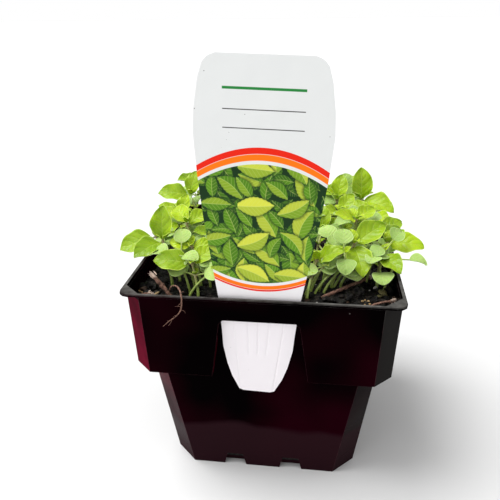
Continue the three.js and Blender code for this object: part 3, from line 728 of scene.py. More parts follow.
# the printed leaves lie in layers, the lowest first: size of a leaf's cell, shift, turn and brightness
PRINTED_LAYERS = [
    (7.5, (0.3, 0.1), 0.6, 0.1), (8.4, (0.7, 0.45), 2.4, 0.15), (9.6, (0.15, 0.8), -0.7, 0.25),
    (10.8, (0.55, 0.25), 1.3, 0.3), (9.0, (0.9, 0.6), 3.6, 0.45), (11.6, (0.35, 0.9), -1.8, 0.5),
    (10.0, (0.05, 0.35), 4.4, 0.6), (12.4, (0.6, 0.7), 0.1, 0.75),
]
PRINTED_LEAF_DARK = (0.010, 0.065, 0.008, 1)
PRINTED_LEAF_GREEN = (0.115, 0.29, 0.012, 1)
PRINTED_LEAF_LIGHT = (0.68, 0.72, 0.07, 1)
PRINTED_LEAF_VEIN = (0.66, 0.78, 0.22, 1)
PRINTED_LEAF_EDGE = (0.02, 0.09, 0.015, 1)


def label_half(along):
    for (low, half_low), (high, half_high) in zip(LABEL_OUTLINE, LABEL_OUTLINE[1:]):
        if along <= high:
            return half_low + (half_high - half_low) * (along - low) / (high - low)
    return LABEL_OUTLINE[-1][1]


def pressed(across, along):
    """How far the foot's creases and grooves are pressed in at a point of the label."""
    depth = 0.0
    run = (along - GROOVES["ends"]) / (GROOVES["starts"] - GROOVES["ends"])
    if 0 <= run <= 1:
        for at_top, at_end in GROOVES["at"]:
            off = abs(across - (at_end + (at_top - at_end) * run))
            ease = min(1.0, run * GROOVES["ease"])
            depth = max(depth, GROOVES["depth"] * ease * max(0.0, 1 - off / GROOVES["half"]))
    (top, top_half), (tip, tip_half) = CREASES["top"], CREASES["tip"]
    run = (along - tip) / (top - tip)
    if run >= 0:
        off = abs(abs(across) - (tip_half + (top_half - tip_half) * min(run, CREASES["past_top"])))
        fading = max(0, min(1, 4 - 3 * run))
        depth = max(depth, CREASES["depth"] * max(0.0, 1 - off / CREASES["half"]) * fading)
    return depth


def printed_leaf_group():
    """One layer of printed leaves. It takes place, turn and brightness, and gives colour, mask and shade."""
    group, start, end = new_group(
        "printed_leaves", {"Vector": "Vector", "Turn": "Float", "Bright": "Float"},
        {"Colour": "Color", "Mask": "Float", "Shade": "Float"},
    )
    spot = start.outputs["Vector"]
    cell = add_node(group, "ShaderNodeVectorMath", {0: spot}, operation="FLOOR").outputs[0]
    chance = add_node(group, "ShaderNodeTexWhiteNoise", {"Vector": cell}, noise_dimensions="3D")
    tones = add_node(group, "ShaderNodeSeparateColor", {0: chance.outputs["Color"]})
    inner = add_node(group, "ShaderNodeVectorMath", {0: spot, 1: cell}, operation="SUBTRACT")
    centred = add_node(group, "ShaderNodeVectorMath", {
        0: inner.outputs[0], 1: (0.5, 0.5, 0.0),
    }, operation="SUBTRACT")
    swing = plus(start.outputs["Turn"], spread(chance.outputs["Value"], 0, 1, -0.8, 0.8))
    turned = add_node(group, "ShaderNodeVectorRotate", {
        "Vector": centred.outputs[0], "Angle": swing,
    }, rotation_type="Z_AXIS")
    place = add_node(group, "ShaderNodeSeparateXYZ", {0: turned.outputs[0]})
    along = place.outputs["X"]
    bent = times(times(along, along), spread(tones.outputs[0], 0, 1, -0.5, 0.5))
    offset = plus(place.outputs["Y"], bent)
    across = size_of(offset)
    bowed = reckon("POWER", size_of(plus(along, 0.07)), 1.8)
    half = minus(spread(tones.outputs[1], 0, 1, 0.18, 0.28), times(bowed, 0.92))
    teeth = times(reckon("SINE", times(along, 64.0)), 0.006)
    edge = minus(plus(half, teeth), across)
    there = reckon("LESS_THAN", tones.outputs[2], 0.84)
    tone = plus(start.outputs["Bright"], spread(tones.outputs[1], 0, 1, -0.22, 0.22))
    tone = plus(tone, spread(offset, -0.012, 0.012, -0.13, 0.10))
    ramp = add_node(group, "ShaderNodeValToRGB", {0: tone})
    ramp.color_ramp.elements[0].color = PRINTED_LEAF_DARK
    ramp.color_ramp.elements[1].color = PRINTED_LEAF_LIGHT
    ramp.color_ramp.elements.new(0.55).color = PRINTED_LEAF_GREEN
    rib = spread(across, 0.0, 0.012, 0.6, 0.0)
    stripe = times(minus(along, times(across, 0.8)), 9.0)
    off = size_of(minus(reckon("FRACT", stripe), 0.5))
    veins = reckon("MAXIMUM", rib, spread(off, 0.0, 0.14, 0.25, 0.0))
    colour = mix_colours(veins, ramp.outputs[0], PRINTED_LEAF_VEIN)
    plug(end, {
        "Colour": mix_colours(spread(edge, 0.0, 0.05, 0.35, 0.0), colour, PRINTED_LEAF_EDGE),
        "Mask": times(spread(edge, 0.0, 0.012), there),
        "Shade": times(spread(edge, -0.09, 0.0, 0.0, 0.75), there),
    })
    return group


def printed_front():
    finish, tree, shader = new_finish("printed_white_plastic", Roughness=0.42, Specular_IOR_Level=0.12)
    across = painted(tree, "across")
    along = painted(tree, "along")
    flat = add_node(tree, "ShaderNodeCombineXYZ", {"X": across, "Y": along}).outputs[0]
    layer = printed_leaf_group()
    picture = PRINT_SHADOW
    for cell, shift, turn, bright in PRINTED_LAYERS:
        moved = add_node(tree, "ShaderNodeVectorMath", {
            0: flat, 1: (1 / cell, 1 / cell, 1.0), 2: (*shift, cell),
        }, operation="MULTIPLY_ADD").outputs[0]
        leaves = add_group(tree, layer, {"Vector": moved, "Turn": turn, "Bright": bright})
        picture = mix_colours(leaves.outputs["Shade"], picture, PRINT_SHADOW)
        picture = mix_colours(leaves.outputs["Mask"], picture, leaves.outputs["Colour"])
    bow = times(times(across, across), BAND_SAG)
    inward = {
        "top": minus(minus(BAND_EDGES["top"], bow), along),
        "foot": minus(along, plus(bow, BAND_EDGES["foot"])),
    }
    field = [minus(inward[side], begins) for side, begins in FIELD_BEGINS.items()]
    # painted light: the label's foot is painted whiter than its top
    white = mix_colours(spread(along, *FOOT_PAINTED_LIGHT_COMES), LABEL_WHITE, LABEL_FOOT_PAINTED_LIGHT)
    layers = [(reckon("MINIMUM", *field), picture)]
    for side, low, high, ink in BANDS:
        band = reckon("MINIMUM", minus(inward[side], low), minus(high, inward[side]))
        layers.append((band, ink))
    reach = minus(RULED_HALF_LENGTH, size_of(across))
    for height, half, ink in RULED_LINES:
        off = size_of(minus(along, height))
        layers.append((reckon("MINIMUM", reach, minus(half, off)), ink))
    colour = white
    for inside, ink in layers:
        colour = mix_colours(spread(inside, 0.0, PRINT_BLUR), colour, ink)
    dirt = add_group(tree, DUST_SPECKS, {"Vector": flat, "Scale": 1.3, "Share": 0.012})
    colour = mix_colours(times(dirt.outputs["Specks"], 0.8), colour, LABEL_DIRT)
    plug(shader, {"Base Color": colour})
    roughen(shader, grain_of(flat, 0.06, 2.0), 0.4, 0.002)
    return finish


def plain_back():
    finish, tree, shader = new_finish("white_plastic", Roughness=0.45, Specular_IOR_Level=0.4)
    where = object_place(tree)
    stain = spread(grain_of(where, 90.0, 5.0), 0.45, 0.75, 0.0, 0.5)
    plug(shader, {"Base Color": mix_colours(stain, LABEL_WHITE, LABEL_STAIN)})
    roughen(shader, grain_of(where, 400.0), 0.1, 0.0002)
    return finish


def thicken(bm, thick):
    """Makes the sheet a plate, with half of its thickness on each side of the sheet."""
    plate = bmesh.ops.extrude_face_region(bm, geom=bm.faces[:], use_keep_orig=True)["geom"]
    bmesh.ops.translate(bm, vec=(0, 0, -thick), verts=verts_of(plate))
    bmesh.ops.recalc_face_normals(bm, faces=bm.faces)
    bmesh.ops.translate(bm, vec=(0, 0, thick / 2), verts=bm.verts)


def cut_label():
    low, high = LABEL_OUTLINE[0][0], LABEL_OUTLINE[-1][0]
    bm = bmesh.new()
    across_layer = bm.verts.layers.float.new("across")
    along_layer = bm.verts.layers.float.new("along")
    bmesh.ops.create_grid(bm, x_segments=LABEL_COLUMNS, y_segments=LABEL_ROWS, size=1)
    for vert in bm.verts:
        along = low + (high - low) * (vert.co.y + 1) / 2
        across = vert.co.x * label_half(along)
        vert[across_layer] = across
        vert[along_layer] = along
        vert.co = Vector((across, along, -pressed(across, along)))
    printed = set(bm.faces)
    thicken(bm, LABEL_THICK)
    for face in bm.faces:
        face.material_index = 0 if face in printed else 1
    stand = (
        Matrix.Translation((0, LABEL_RIM_Y, LABEL_RIM_Z))
        @ Matrix.Rotation(math.radians(90 + LABEL_TILT), 4, "X")
        @ Matrix.Rotation(math.radians(-LABEL_LEAN), 4, "Z")
    )
    bmesh.ops.transform(bm, matrix=stand, verts=bm.verts)
    piece = add_piece(bm, "plant_label", [printed_front(), plain_back()], 50)
    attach(piece, "root")
    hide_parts("label")


cut_label()

# ---------------------------------------------------------------- twigs
# Bits of dry twig that came with the compost: a stick across the right front corner, a broken one that
# stands up at the left with a root fibre hanging from it over the lip, and a twiglet in each front corner.

# each twig's parts: the radius, then the points that it passes through
TWIGS = {
    "twig_right": [
        (0.8, [(21.4, -33.5, 78.9), (27, -29.3, 79.6), (33, -24.2, 80.2), (39.4, -19.4, 81)]),
    ],
    "twig_left": [
        (0.95, [(-33.4, -38, 77.6), (-36.4, -37, 81.2), (-41.3, -35.6, 86)]),
        (0.33, [
            (-34.6, -37.6, 80.2), (-33.2, -39.6, 83.4), (-30.8, -42.6, 85.6), (-28.2, -47, 86.7),
            (-26.6, -50.6, 86.2), (-26.3, -51.5, 83.6), (-27.1, -51.3, 80.3), (-28.6, -51.1, 78.2),
            (-31.2, -50.9, 76), (-33.9, -50.8, 73.4),
        ]),
    ],
    "twiglet_left": [(0.5, [(-46.4, -40.2, 78.9), (-44.4, -38.4, 79.2), (-41.6, -37.4, 78.9)])],
    "twiglet_right": [(0.55, [(37.6, -39.4, 79), (42.6, -36.4, 79.5), (47, -34.4, 79.2)])],
}
# a part with a smaller radius than this is a root fibre
FIBRE_UNDER = 0.4
SPLINTERS = {"count": 44, "long": (0.9, 2.1), "rooted": 1.1, "pale": (0.4, 1.0)}
SPLINTER_RADII = [0.17, 0.14, 0.05]
LYING_STICK_SPLINTERS = 0.4
# the standing stick is torn to its pale wood from this height up, fully so this much higher
TORN_FROM = 85.2
TORN_OVER = 0.8
ROOTLETS_AT = (0.42, 0.5, 0.56, 0.62, 0.66, 0.7, 0.78, 0.86, 0.93)
ROOTLET_RADII = [0.11, 0.1, 0.09, 0.08, 0.07, 0.05, 0.03]
BARK_DARK = (0.032, 0.013, 0.009, 1)
BARK_LIGHT = (0.38, 0.205, 0.145, 1)
PEELED_WOOD = (0.66, 0.47, 0.36, 1)
TORN_WOOD = (0.80, 0.64, 0.53, 1)


def dry_wood():
    finish, tree, shader = new_finish("dry_bark", Specular_IOR_Level=0.25)
    straight = add_node(tree, "ShaderNodeAttribute", attribute_name="straight").outputs["Vector"]
    drawn_out = add_node(tree, "ShaderNodeVectorMath", {
        0: straight, 1: (1.0, 1.0, 0.16),
    }, operation="MULTIPLY")
    fibres = grain_of(drawn_out.outputs[0], 4.5, 5.0, 0.65)
    patches = grain_of(straight, 1.1, 3.0, 0.6)
    bark = spread(plus(fibres, times(patches, 0.6)), 0.62, 0.98)
    colour = mix_colours(bark, BARK_DARK, BARK_LIGHT)
    colour = mix_colours(spread(fibres, 0.60, 0.68, 0.0, 0.75), colour, PEELED_WOOD)
    colour = mix_colours(painted(tree, "pale"), colour, TORN_WOOD)
    plug(shader, {"Base Color": colour, "Roughness": spread(bark, 0, 1, 0.65, 0.92)})
    roughen(shader, fibres, 0.9, 0.0004)
    return finish


def shape_part(bm, radius, path, thin):
    """A twig or fibre along its path, a little crooked, with a knot here and there. A fibre tapers."""
    steps = 54 if thin else 40
    sway = (0.1 if thin else 0.2) * radius
    centres = []
    for centre in smooth_path(path, steps):
        bend = [noise.noise(centre / 1.6 + Vector((apart, 0, 0))) for apart in (0, 31, 62)]
        centres.append(centre + sway * Vector(bend))
    radii = []
    for step, centre in enumerate(centres):
        tapered = 1 - 1.5 * max(0, step / steps - 0.5) * thin
        knot = 0.88 * max(0, noise.noise(centre / 0.9 + Vector((7, 0, 0)))) ** 2
        radii.append(radius * (0.82 + 0.2 * noise.noise(centre / 1.3) + knot) * tapered)
    grow_stick(bm, centres, radii, 7 if thin else 12)
    return centres


def paint(bm, layer, skipped, value_at):
    """Gives each point, apart from the first ones that are skipped, a value from its place."""
    bm.verts.ensure_lookup_table()
    layer = bm.verts.layers.float[layer]
    for vert in bm.verts[skipped:]:
        vert[layer] = value_at(vert.co)


def break_end(bm, dice, end, out):
    """The torn end of a broken stick: pale splinters of unlike length that stand out of it."""
    for _ in range(SPLINTERS["count"]):
        spot = end + Vector([dice.uniform(-0.8, 0.8) for _ in range(3)]) - out * SPLINTERS["rooted"]
        spread_out = Vector([dice.uniform(-0.5, 0.5) for _ in range(3)])
        tip = spot + out * dice.uniform(*SPLINTERS["long"]) + spread_out
        before = len(bm.verts)
        grow_stick(bm, [spot, spot.lerp(tip, 0.5), tip], SPLINTER_RADII, 5)
        paleness = dice.uniform(*SPLINTERS["pale"])
        paint(bm, "pale", before, lambda place: paleness)


def grow_rootlets(bm, dice, centres):
    """The finest roots, which branch off the root fibre where it hangs over the lip."""
    for share in ROOTLETS_AT:
        spot = centres[int(share * (len(centres) - 1))]
        tip = spot + Vector((dice.uniform(-2.4, 2.4), dice.uniform(-0.2, 0.2), dice.uniform(-3, 1.2)))
        bend = spot.lerp(tip, 0.5) + Vector((0.4, 0, 0.3))
        grow_stick(bm, smooth_path([spot, bend, tip], len(ROOTLET_RADII) - 1), ROOTLET_RADII, 5)


def lay_twigs():
    finish = dry_wood()
    for name, parts in TWIGS.items():
        dice = random.Random(name)
        bm = bmesh.new()
        bm.verts.layers.float.new("pale")
        for radius, path in parts:
            thin = radius < FIBRE_UNDER
            centres = shape_part(bm, radius, path, thin)
            out = (centres[-1] - centres[-6]).normalized()
            if thin:
                grow_rootlets(bm, dice, centres)
            elif name == "twig_left":
                paint(bm, "pale", 0, lambda place: max(0.0, min(0.8, (place.z - TORN_FROM) / TORN_OVER)))
                break_end(bm, dice, centres[-1], out)
            else:
                break_end(bm, dice, centres[-1], out * LYING_STICK_SPLINTERS)
        piece = add_piece(bm, name + "_dry", [finish], 70)
        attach(piece, "root")
        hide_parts(name)


lay_twigs()

# ---------------------------------------------------------------- basil seedlings
# Each seedling is one young plant: a pale round stem out of the compost, two blunt seed leaves on thin
# stalks, two glossy veined true leaves and the next small pair at its tip. They crowd towards the light.

STEM_FREE = 1.0
SEED_NODE = 0.6
LEAF_THICK = 0.32
LEAF_LAYERS = ("along", "across", "tone")
# each leaf's form, in shares of its length and width. The values up to "droops" are the CAD source's own,
# so that both have the same blades
TRUE_LEAF = {
    "stalk": 0.1, "width": 0.64, "low": 0.84, "full": 0.62, "cup": 0.24, "arch": 0.07, "wave": 0.04,
    "droops": False, "rows": 32, "columns": 12, "teeth": 7, "tooth": 0.018, "point": 0.1, "finish": 1,
    "uneven": 0.02, "notch": 0, "full_out": 1.1, "quilting": 0.10, "dished": (0.0, 0.22),
    "sagging": (0.02, 0.10),
}
SEED_LEAF = {
    "stalk": 0.36, "width": 1.1, "low": 0.92, "full": 0.5, "cup": 0, "arch": 0.03, "wave": 0,
    "droops": True, "rows": 18, "columns": 10, "teeth": 0, "tooth": 0, "point": -0.12, "finish": 2,
    "uneven": 0.10, "notch": 0.08, "full_out": 1.04, "quilting": 0.03, "dished": (0.06, 0.34),
    "sagging": (0.04, 0.22),
}
YOUNG_LEAF = dict(TRUE_LEAF, rows=16, columns=8, teeth=4, cup=0.36, arch=0.1, width=0.6)
FIRST_PAIR = dict(TRUE_LEAF, rows=20, columns=10, teeth=5)
SEED_LEAF_LENGTH = 11
# how far the leaves roll over and hang down to face the light, in degrees
FACING_ROLL = 36
FACING_DROOP = 22
# the stems' radii where they are plain, at their foot in the compost and in the swellings where leaves leave
STEM = {"radius": 0.56, "thinner": 0.1, "foot": [0.62, 0.6], "tip": 0.3, "at_node": 0.14, "at_crown": 0.1}
STALK_RADII = [0.46, 0.4, 0.36, 0.36, 0.3]
STALK_SAG = 0.25
SPROUT_STEM = {"radius": 0.48, "thinner": 0.012}
SPROUT_STALK_RADII = [0.34, 0.3, 0.28, 0.24]
TIP_PAIR = {"lift": (22, 58), "long": (3.8, 6.4)}
AXIL_PAIR = {"lift": (25, 50), "long": (2.4, 4.2)}
HAIRS = {"count": 44, "root": 0.035, "point": 0.008, "long": (0.5, 0.8)}
# foot and crown of each seedling that shows beside the label, then its true leaves' turn, lift and length,
# and the seed leaves' turn where they don't stand crosswise
FRONT_SEEDLINGS = [
    ((-24, -36), (-27, -31, 89), ((-172, 8, 14.5), (31, 28, 11)), 12),
    ((-25, -27), (-29, -22, 94), ((166, 14, 9), (-20, 6, 9.5)), 70),
    ((-36, -28), (-41, -20, 93), ((101, 78, 14), (-111, -8, 14)), None),
    ((-34, -24), (-46, -13, 90), ((-147, -14, 15), (47, 16, 11)), None),
    ((-29, -17), (-34, -8, 94), ((38, 21, 10.5), (144, 24, 11.5)), None),
    ((-34, 4), (-40, 8, 94), ((66, 61, 9.5), (180, 4, 10)), None),
    ((-35, 25), (-41, 29, 96), ((-168, 9, 15), (57, 67, 12)), None),
    ((-17, -17), (-22, -13, 92), ((52, 14, 9.5), (-128, 20, 9)), None),
    ((34, 25), (38, 29, 96), ((105, 78, 15), (-32, -4, 16)), 100),
    ((25, 21), (27, 25, 97), ((68, 66, 12), (-131, 40, 11)), None),
    ((24, 8), (28, 12, 96), ((40, 44, 10), (-148, 6, 10)), None),
    ((18, -8), (21, 0, 92), ((38, 14, 10.5), (113, 61, 11)), None),
    ((25, -24), (33, -16, 93), ((27, 27, 14.7), (-75, -28, 15)), None),
    ((42, -23), (43, -19, 90), ((-57, -8, 12), (112, 8, 10)), None),
    ((36, -13), (46, -9, 89), ((-16, 6, 14.5), (58, 18, 12.5)), None),
    ((16, -34), (19, -24, 89), ((-13, 31, 11.5), (162, 30, 9)), 10),
    ((-40, 15), (-44, 17, 91), ((164, 25, 10), (-32, 0, 10)), None),
    ((40, 2), (44, 2, 92), ((17, 12, 11.5), (144, 10, 11)), None),
    ((33, -4), (34, -3, 98), ((41, 20, 10.5), (-150, 24, 10.5)), None),
    ((37, 12), (41, 16, 94), ((-35, -6, 11.5), (159, 19, 10.5)), None),
]
# feet of the seedlings behind the label and along the back
REAR_FEET = [
    (-25, 38), (-6, 36), (12, 37), (-22, 17), (-4, 20), (12, 16), (-9, 2), (-4, -15), (-8, -31),
    (33, 39), (-41, 40), (7, -24),
]
# foot and crown of the late sprouts, the turn of their seed leaves, how far these are tipped to the light
# and how long they are, and the length of the first true pair, if it is out
LATE_SPROUTS = [
    ((15.6, -31), (22, -26, 88), (25, 35, 8), 4),
    ((17.4, -28.4), (25, -21, 91), (80, 30, 8.5), 5),
    ((19, -30.2), (27, -25, 87), (-15, 25, 8), 4),
    ((20.4, -27.4), (29.1, -22.8, 92.4), (95, 45, 10), 3.5),
    ((22.2, -29), (30.5, -23.5, 88), (5, 20, 8), 4),
    ((26, -24.8), (34, -18.5, 88.5), (60, 30, 8), 4),
    ((28.6, -22.4), (37, -15, 88), (10, 20, 8), 5),
    ((22, -18), (25.1, -14.3, 91.9), (120, 40, 9.5), 3),
    ((38, -21), (41.2, -19.2, 91), (70, 12, 8.5), 3),
    ((42, -20), (45.6, -17.4, 93.7), (40, 35, 8.5), 0),
    ((44.5, -25), (49.4, -22, 90.3), (-8, 0, 10), 0),
    ((26, -2), (29, 4, 91), (110, 45, 9), 5),
    ((22, 4), (26.7, 5, 97), (0, 20, 10), 3),
    ((32, 0), (35.3, 1.8, 96), (20, 15, 10), 3),
    ((26, 27), (28.9, 29.2, 96.4), (30, 45, 9), 3),
    ((27, 34), (29.1, 32.6, 97), (140, 25, 9), 0),
    ((28, 30), (30.9, 33.4, 97), (100, 70, 10), 3),
    ((-27, -36.5), (-17.5, -33, 88), (150, 25, 8), 3.5),
    ((-21, -28), (-24.5, -24, 90), (110, 35, 8.5), 4),
    ((-27, -29), (-32.4, -25.4, 91.5), (95, 42, 9.5), 0),
    ((-28, -33), (-33.5, -30, 92), (165, 12, 9.5), 0),
    ((-28, -22), (-33, -17, 91), (170, 25, 9), 4),
    ((-38, -18), (-42, -15, 89), (190, 30, 9), 4),
    ((-31, -12), (-35.2, -9.1, 93.9), (30, 25, 9.5), 3),
    ((-36, -8), (-40, -6.1, 93.4), (60, 40, 9), 3),
    ((-27, -3), (-30.9, -1.3, 92.7), (100, 35, 9), 3),
    ((-33, 7), (-37.7, 9.4, 93.2), (120, 40, 10), 3),
    ((-40, 23), (-44.4, 24.7, 92.4), (80, 30, 10), 3),
]
STEM_GREEN = (0.24, 0.33, 0.06, 1)
STEM_LIGHT = (0.37, 0.46, 0.11, 1)
STEM_BROWN = (0.27, 0.17, 0.11, 1)
LEAF_LOOKS = {
    "true_leaf": {
        "dark": (0.15, 0.275, 0.005, 1), "light": (0.45, 0.60, 0.010, 1), "vein_and_rim_highlight": (0.62, 0.78, 0.16, 1),
        "branches": 4.5, "sweep": 0.36, "sheen": 0.26, "rough": 0.36, "veined": 0.24, "relief": 0.5,
    },
    "seed_leaf": {
        "dark": (0.25, 0.385, 0.095, 1), "light": (0.46, 0.61, 0.18, 1), "vein_and_rim_highlight": (0.55, 0.72, 0.32, 1),
        "branches": 4.0, "sweep": 0.5, "sheen": 0.12, "rough": 0.5, "veined": 0.14, "relief": 0.35,
    },
}
# the CAD source's chance, half of its leaves' width at the stalk and of their thickness, and the ways in
# which it may have raised and turned a plant to clear the others
CHANCE_TIMES = 1664525
CHANCE_PLUS = 1013904223
CHANCE_RANGE = 4294967296
STALK_HALF = 0.5
CAD_LEAF_HALF = 0.35
FRONT_PLAY = 7
REAR_PLAY = 31
TRIED_RISES = (0, 2, -2, 4)
TRIED_TURNS = (0, 1, -1, 2, -2)
TRIED_SEED_TURNS = (0, 20, -20, 40, -40, 60, -60)

drawn = 20240611


def draw(low, high):
    """The next number of the CAD source's own chance, so that both place the rear seedlings alike."""
    global drawn
    drawn = (drawn * CHANCE_TIMES + CHANCE_PLUS) % CHANCE_RANGE
    return low + (high - low) * drawn / CHANCE_RANGE


def blade_half(kind, length, t):
    swell = math.sin(math.pi * min(t, 1) ** kind["low"])
    return 0.5 * kind["width"] * length * (1 - kind["stalk"]) * max(swell, 0) ** kind["full"]


def blade_point(kind, length, t, u, half):
    """A point of the blade in the leaf's frame: x along it, y to its side, z out of its upper face."""
    blade = length * (1 - kind["stalk"])
    y = u * half
    ripple = kind["wave"] * blade * math.sin(4 * math.pi * t + 2 * u) * u * u
    z = kind["cup"] * abs(y) + 4 * kind["arch"] * blade * t * (1 - t) + ripple
    return Vector((length * kind["stalk"] + t * blade, y, z))


def leaf_frame(base, turn, lift, roll):
    a, e, r = (math.radians(angle) for angle in (turn, lift, roll))
    along = Vector((math.cos(e) * math.cos(a), math.cos(e) * math.sin(a), math.sin(e)))
    flat_side = Vector((-math.sin(a), math.cos(a), 0))
    side = flat_side * math.cos(r) + along.cross(flat_side) * math.sin(r)
    turned = Matrix((along, side, along.cross(side))).transposed().to_4x4()
    return Matrix.Translation(base) @ turned


def stem_point(plant, t):
    foot, crown = plant["foot"], plant["crown"]
    start = Vector((foot[0], foot[1], SOIL_TOP + STEM_FREE))
    end = Vector(crown)
    bend = Vector((*(start.xy.lerp(end.xy, 0.3)), start.z + (end.z - start.z) * 0.6))
    return start * (1 - t) ** 2 + bend * 2 * t * (1 - t) + end * t * t


def leaves_of(plant):
    """The true leaves and then the seed leaves, each with its frame, all turned to face the light."""
    node = stem_point(plant, SEED_NODE)
    leaves = [(TRUE_LEAF, Vector(plant["crown"]), *leaf) for leaf in plant["leaves"]]
    for about in (0, 180):
        leaves.append((
            SEED_LEAF, node, plant["seed_turn"] + about, plant["seed_lift"] - about / 30, SEED_LEAF_LENGTH,
        ))
    placed = []
    for kind, base, turn, lift, length in leaves:
        about = math.radians(turn)
        roll = FACING_ROLL * plant["faced"] * math.cos(about)
        tipped = FACING_DROOP * plant["faced"] * math.sin(about) if kind["droops"] else 0
        placed.append((kind, length, leaf_frame(base, turn, lift + tipped, roll)))
    return placed


def trials_of(plant, play):
    """The plant as the CAD source may have placed it, the first tries first."""
    x, y, z = plant["crown"]
    for rise, turn, seed_turn in itertools.product(TRIED_RISES, TRIED_TURNS, TRIED_SEED_TURNS):
        yield dict(
            plant, crown=(x, y, z + rise), seed_turn=plant["seed_turn"] + turn * play + seed_turn,
            leaves=[(about + turn * play, lift, long) for about, lift, long in plant["leaves"]],
        )


def tips_miss(plant, corners):
    """How far the plant's leaf tips lie from the nearest of the corners, all together."""
    miss = 0.0
    for kind, length, placed in leaves_of(plant):
        tip = blade_point(kind, length, 1, 1, STALK_HALF)
        tip.z += CAD_LEAF_HALF
        miss += corners.find(placed @ tip)[2]
    return miss


def found_in_frame(plant, play, node):
    """The plant turned and raised as its CAD solid stands: the trial whose leaf tips lie on its corners."""
    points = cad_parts[node].data.vertices
    corners = kdtree.KDTree(len(points))
    for index, point in enumerate(points):
        corners.insert(point.co / MM, index)
    corners.balance()
    return min(trials_of(plant, play), key=lambda trial: tips_miss(trial, corners))


def grown_half(kind, length, t, u, lopsided):
    """The leaf's true half width: not quite even, toothed, and drawn out or blunt at its tip."""
    side = math.copysign(1, u)
    half = max(blade_half(kind, length, t) * kind["full_out"], 0.28 * (1 - t))
    half *= 1 + lopsided * side * math.sin(math.pi * t)
    half *= 1 - kind["point"] * max(0, (t - 0.65) / 0.35) ** 2
    tooth = (t * kind["teeth"]) % 1.0
    half *= 1 + kind["tooth"] * (tooth - 0.4) * abs(u) ** 6 * math.sin(math.pi * t)
    return half * (1 + kind["uneven"] * math.sin(5.0 * t + 2.0 * side + lopsided * 90))


def grow_leaf(bm, dice, kind, length, placed, tone):
    """One leaf: a grid bent to the blade's form, drawn together at its tip and given its thickness."""
    leaf = bmesh.new()
    along_layer, across_layer, tone_layer = [leaf.verts.layers.float.new(name) for name in LEAF_LAYERS]
    bmesh.ops.create_grid(leaf, x_segments=kind["rows"], y_segments=kind["columns"], size=1)
    lopsided = dice.uniform(-0.05, 0.05)
    twist = dice.uniform(-0.10, 0.10)
    dished = dice.uniform(*kind["dished"])
    sagging = dice.uniform(*kind["sagging"])
    for vert in leaf.verts:
        t = (1 - math.cos(math.pi * (vert.co.x + 1) / 2)) / 2
        u = vert.co.y
        half = grown_half(kind, length, t, u, lopsided)
        vert[along_layer] = t
        vert[across_layer] = u
        vert[tone_layer] = tone
        point = blade_point(kind, length, t, u, half)
        point.x -= kind["notch"] * length * math.exp(-(u / 0.35) ** 2) * max(0, (t - 0.6) / 0.4) ** 2
        point.z += 0.8 * kind["cup"] * half * (u * u - abs(u)) + dished * half * u * u
        point.z -= sagging * length * t ** 3
        point.z += twist * u * half * (t - 0.4)
        swell = math.sin(math.pi * ((t - 0.3 * abs(u)) * 6 % 1.0))
        swell *= math.sin(math.pi * min(1, abs(u) * 1.05))
        point.z += kind["quilting"] * swell * math.sin(math.pi * t)
        vert.co = point
    bmesh.ops.remove_doubles(leaf, verts=leaf.verts, dist=0.02)
    thicken(leaf, LEAF_THICK)
    if leaf.calc_volume(signed=True) < 0:
        bmesh.ops.reverse_faces(leaf, faces=leaf.faces)
    for face in leaf.faces:
        face.material_index = kind["finish"]
    bmesh.ops.transform(leaf, matrix=placed, verts=leaf.verts)
    join(bm, leaf)


def leaf_vein_group():
    """Veins from the leaf's own length and width. It gives them, the swell between them and the margin."""
    group, start, end = new_group(
        "leaf_veins", dict.fromkeys(("Along", "Across", "Count", "Sweep"), "Float"),
        dict.fromkeys(("Veins", "Swell", "Margin"), "Float"),
    )
    along = start.outputs["Along"]
    side = size_of(start.outputs["Across"])
    width = spread(along, 0.0, 1.0, 0.10, 0.045)
    rib = minus(1.0, reckon("DIVIDE", side, width), True)
    lean = times(reckon("POWER", side, 1.25), start.outputs["Sweep"])
    phase = reckon("FRACT", times(minus(along, lean), start.outputs["Count"]))
    off = size_of(minus(phase, 0.5))
    branch = spread(off, 0.0, 0.085, 1.0, 0.0)
    faded = times(branch, spread(side, 0.1, 1.0, 0.8, 0.1))
    plug(end, {
        "Veins": reckon("MAXIMUM", rib, faded),
        "Swell": spread(off, 0.0, 0.4),
        "Margin": spread(side, 0.90, 0.98),
    })
    return group


LEAF_VEINS = leaf_vein_group()


def leaf_finish(name, look):
    finish, tree, shader = new_finish(
        name, Specular_IOR_Level=look["sheen"], Subsurface_Weight=0.3,
        Subsurface_Radius=(0.6, 1.0, 0.25), Subsurface_Scale=0.0009,
    )
    where = object_place(tree)
    veins = add_group(tree, LEAF_VEINS, {
        "Along": painted(tree, "along"), "Across": painted(tree, "across"),
        "Count": look["branches"], "Sweep": look["sweep"],
    })
    patch = spread(grain_of(where, 160.0, 3.0), 0.3, 0.7)
    share = plus(times(patch, 0.35), times(painted(tree, "tone"), 0.65), True)
    colour = mix_colours(share, look["dark"], look["light"])
    fleck = spread(grain_of(where, 2200.0, 2.0), 0.5, 0.75, 0.0, 0.25)
    colour = mix_colours(fleck, colour, look["dark"])
    colour = mix_colours(times(veins.outputs["Veins"], look["veined"]), colour, look["vein_and_rim_highlight"])
    # painted highlight: the leaf's margin is painted pale with the vein colour, as light catches its edge
    colour = mix_colours(times(veins.outputs["Margin"], 0.6), colour, look["vein_and_rim_highlight"])
    rough = grain_of(where, 240.0, 3.0)
    rough = spread(rough, 0.35, 0.65, look["rough"] - 0.1, look["rough"] + 0.12)
    plug(shader, {"Base Color": colour, "Roughness": rough})
    height = minus(times(veins.outputs["Swell"], 0.8), veins.outputs["Veins"])
    height = plus(height, times(grain_of(where, 1600.0, 3.0), 0.7))
    roughen(shader, height, look["relief"], 0.00025)
    return finish


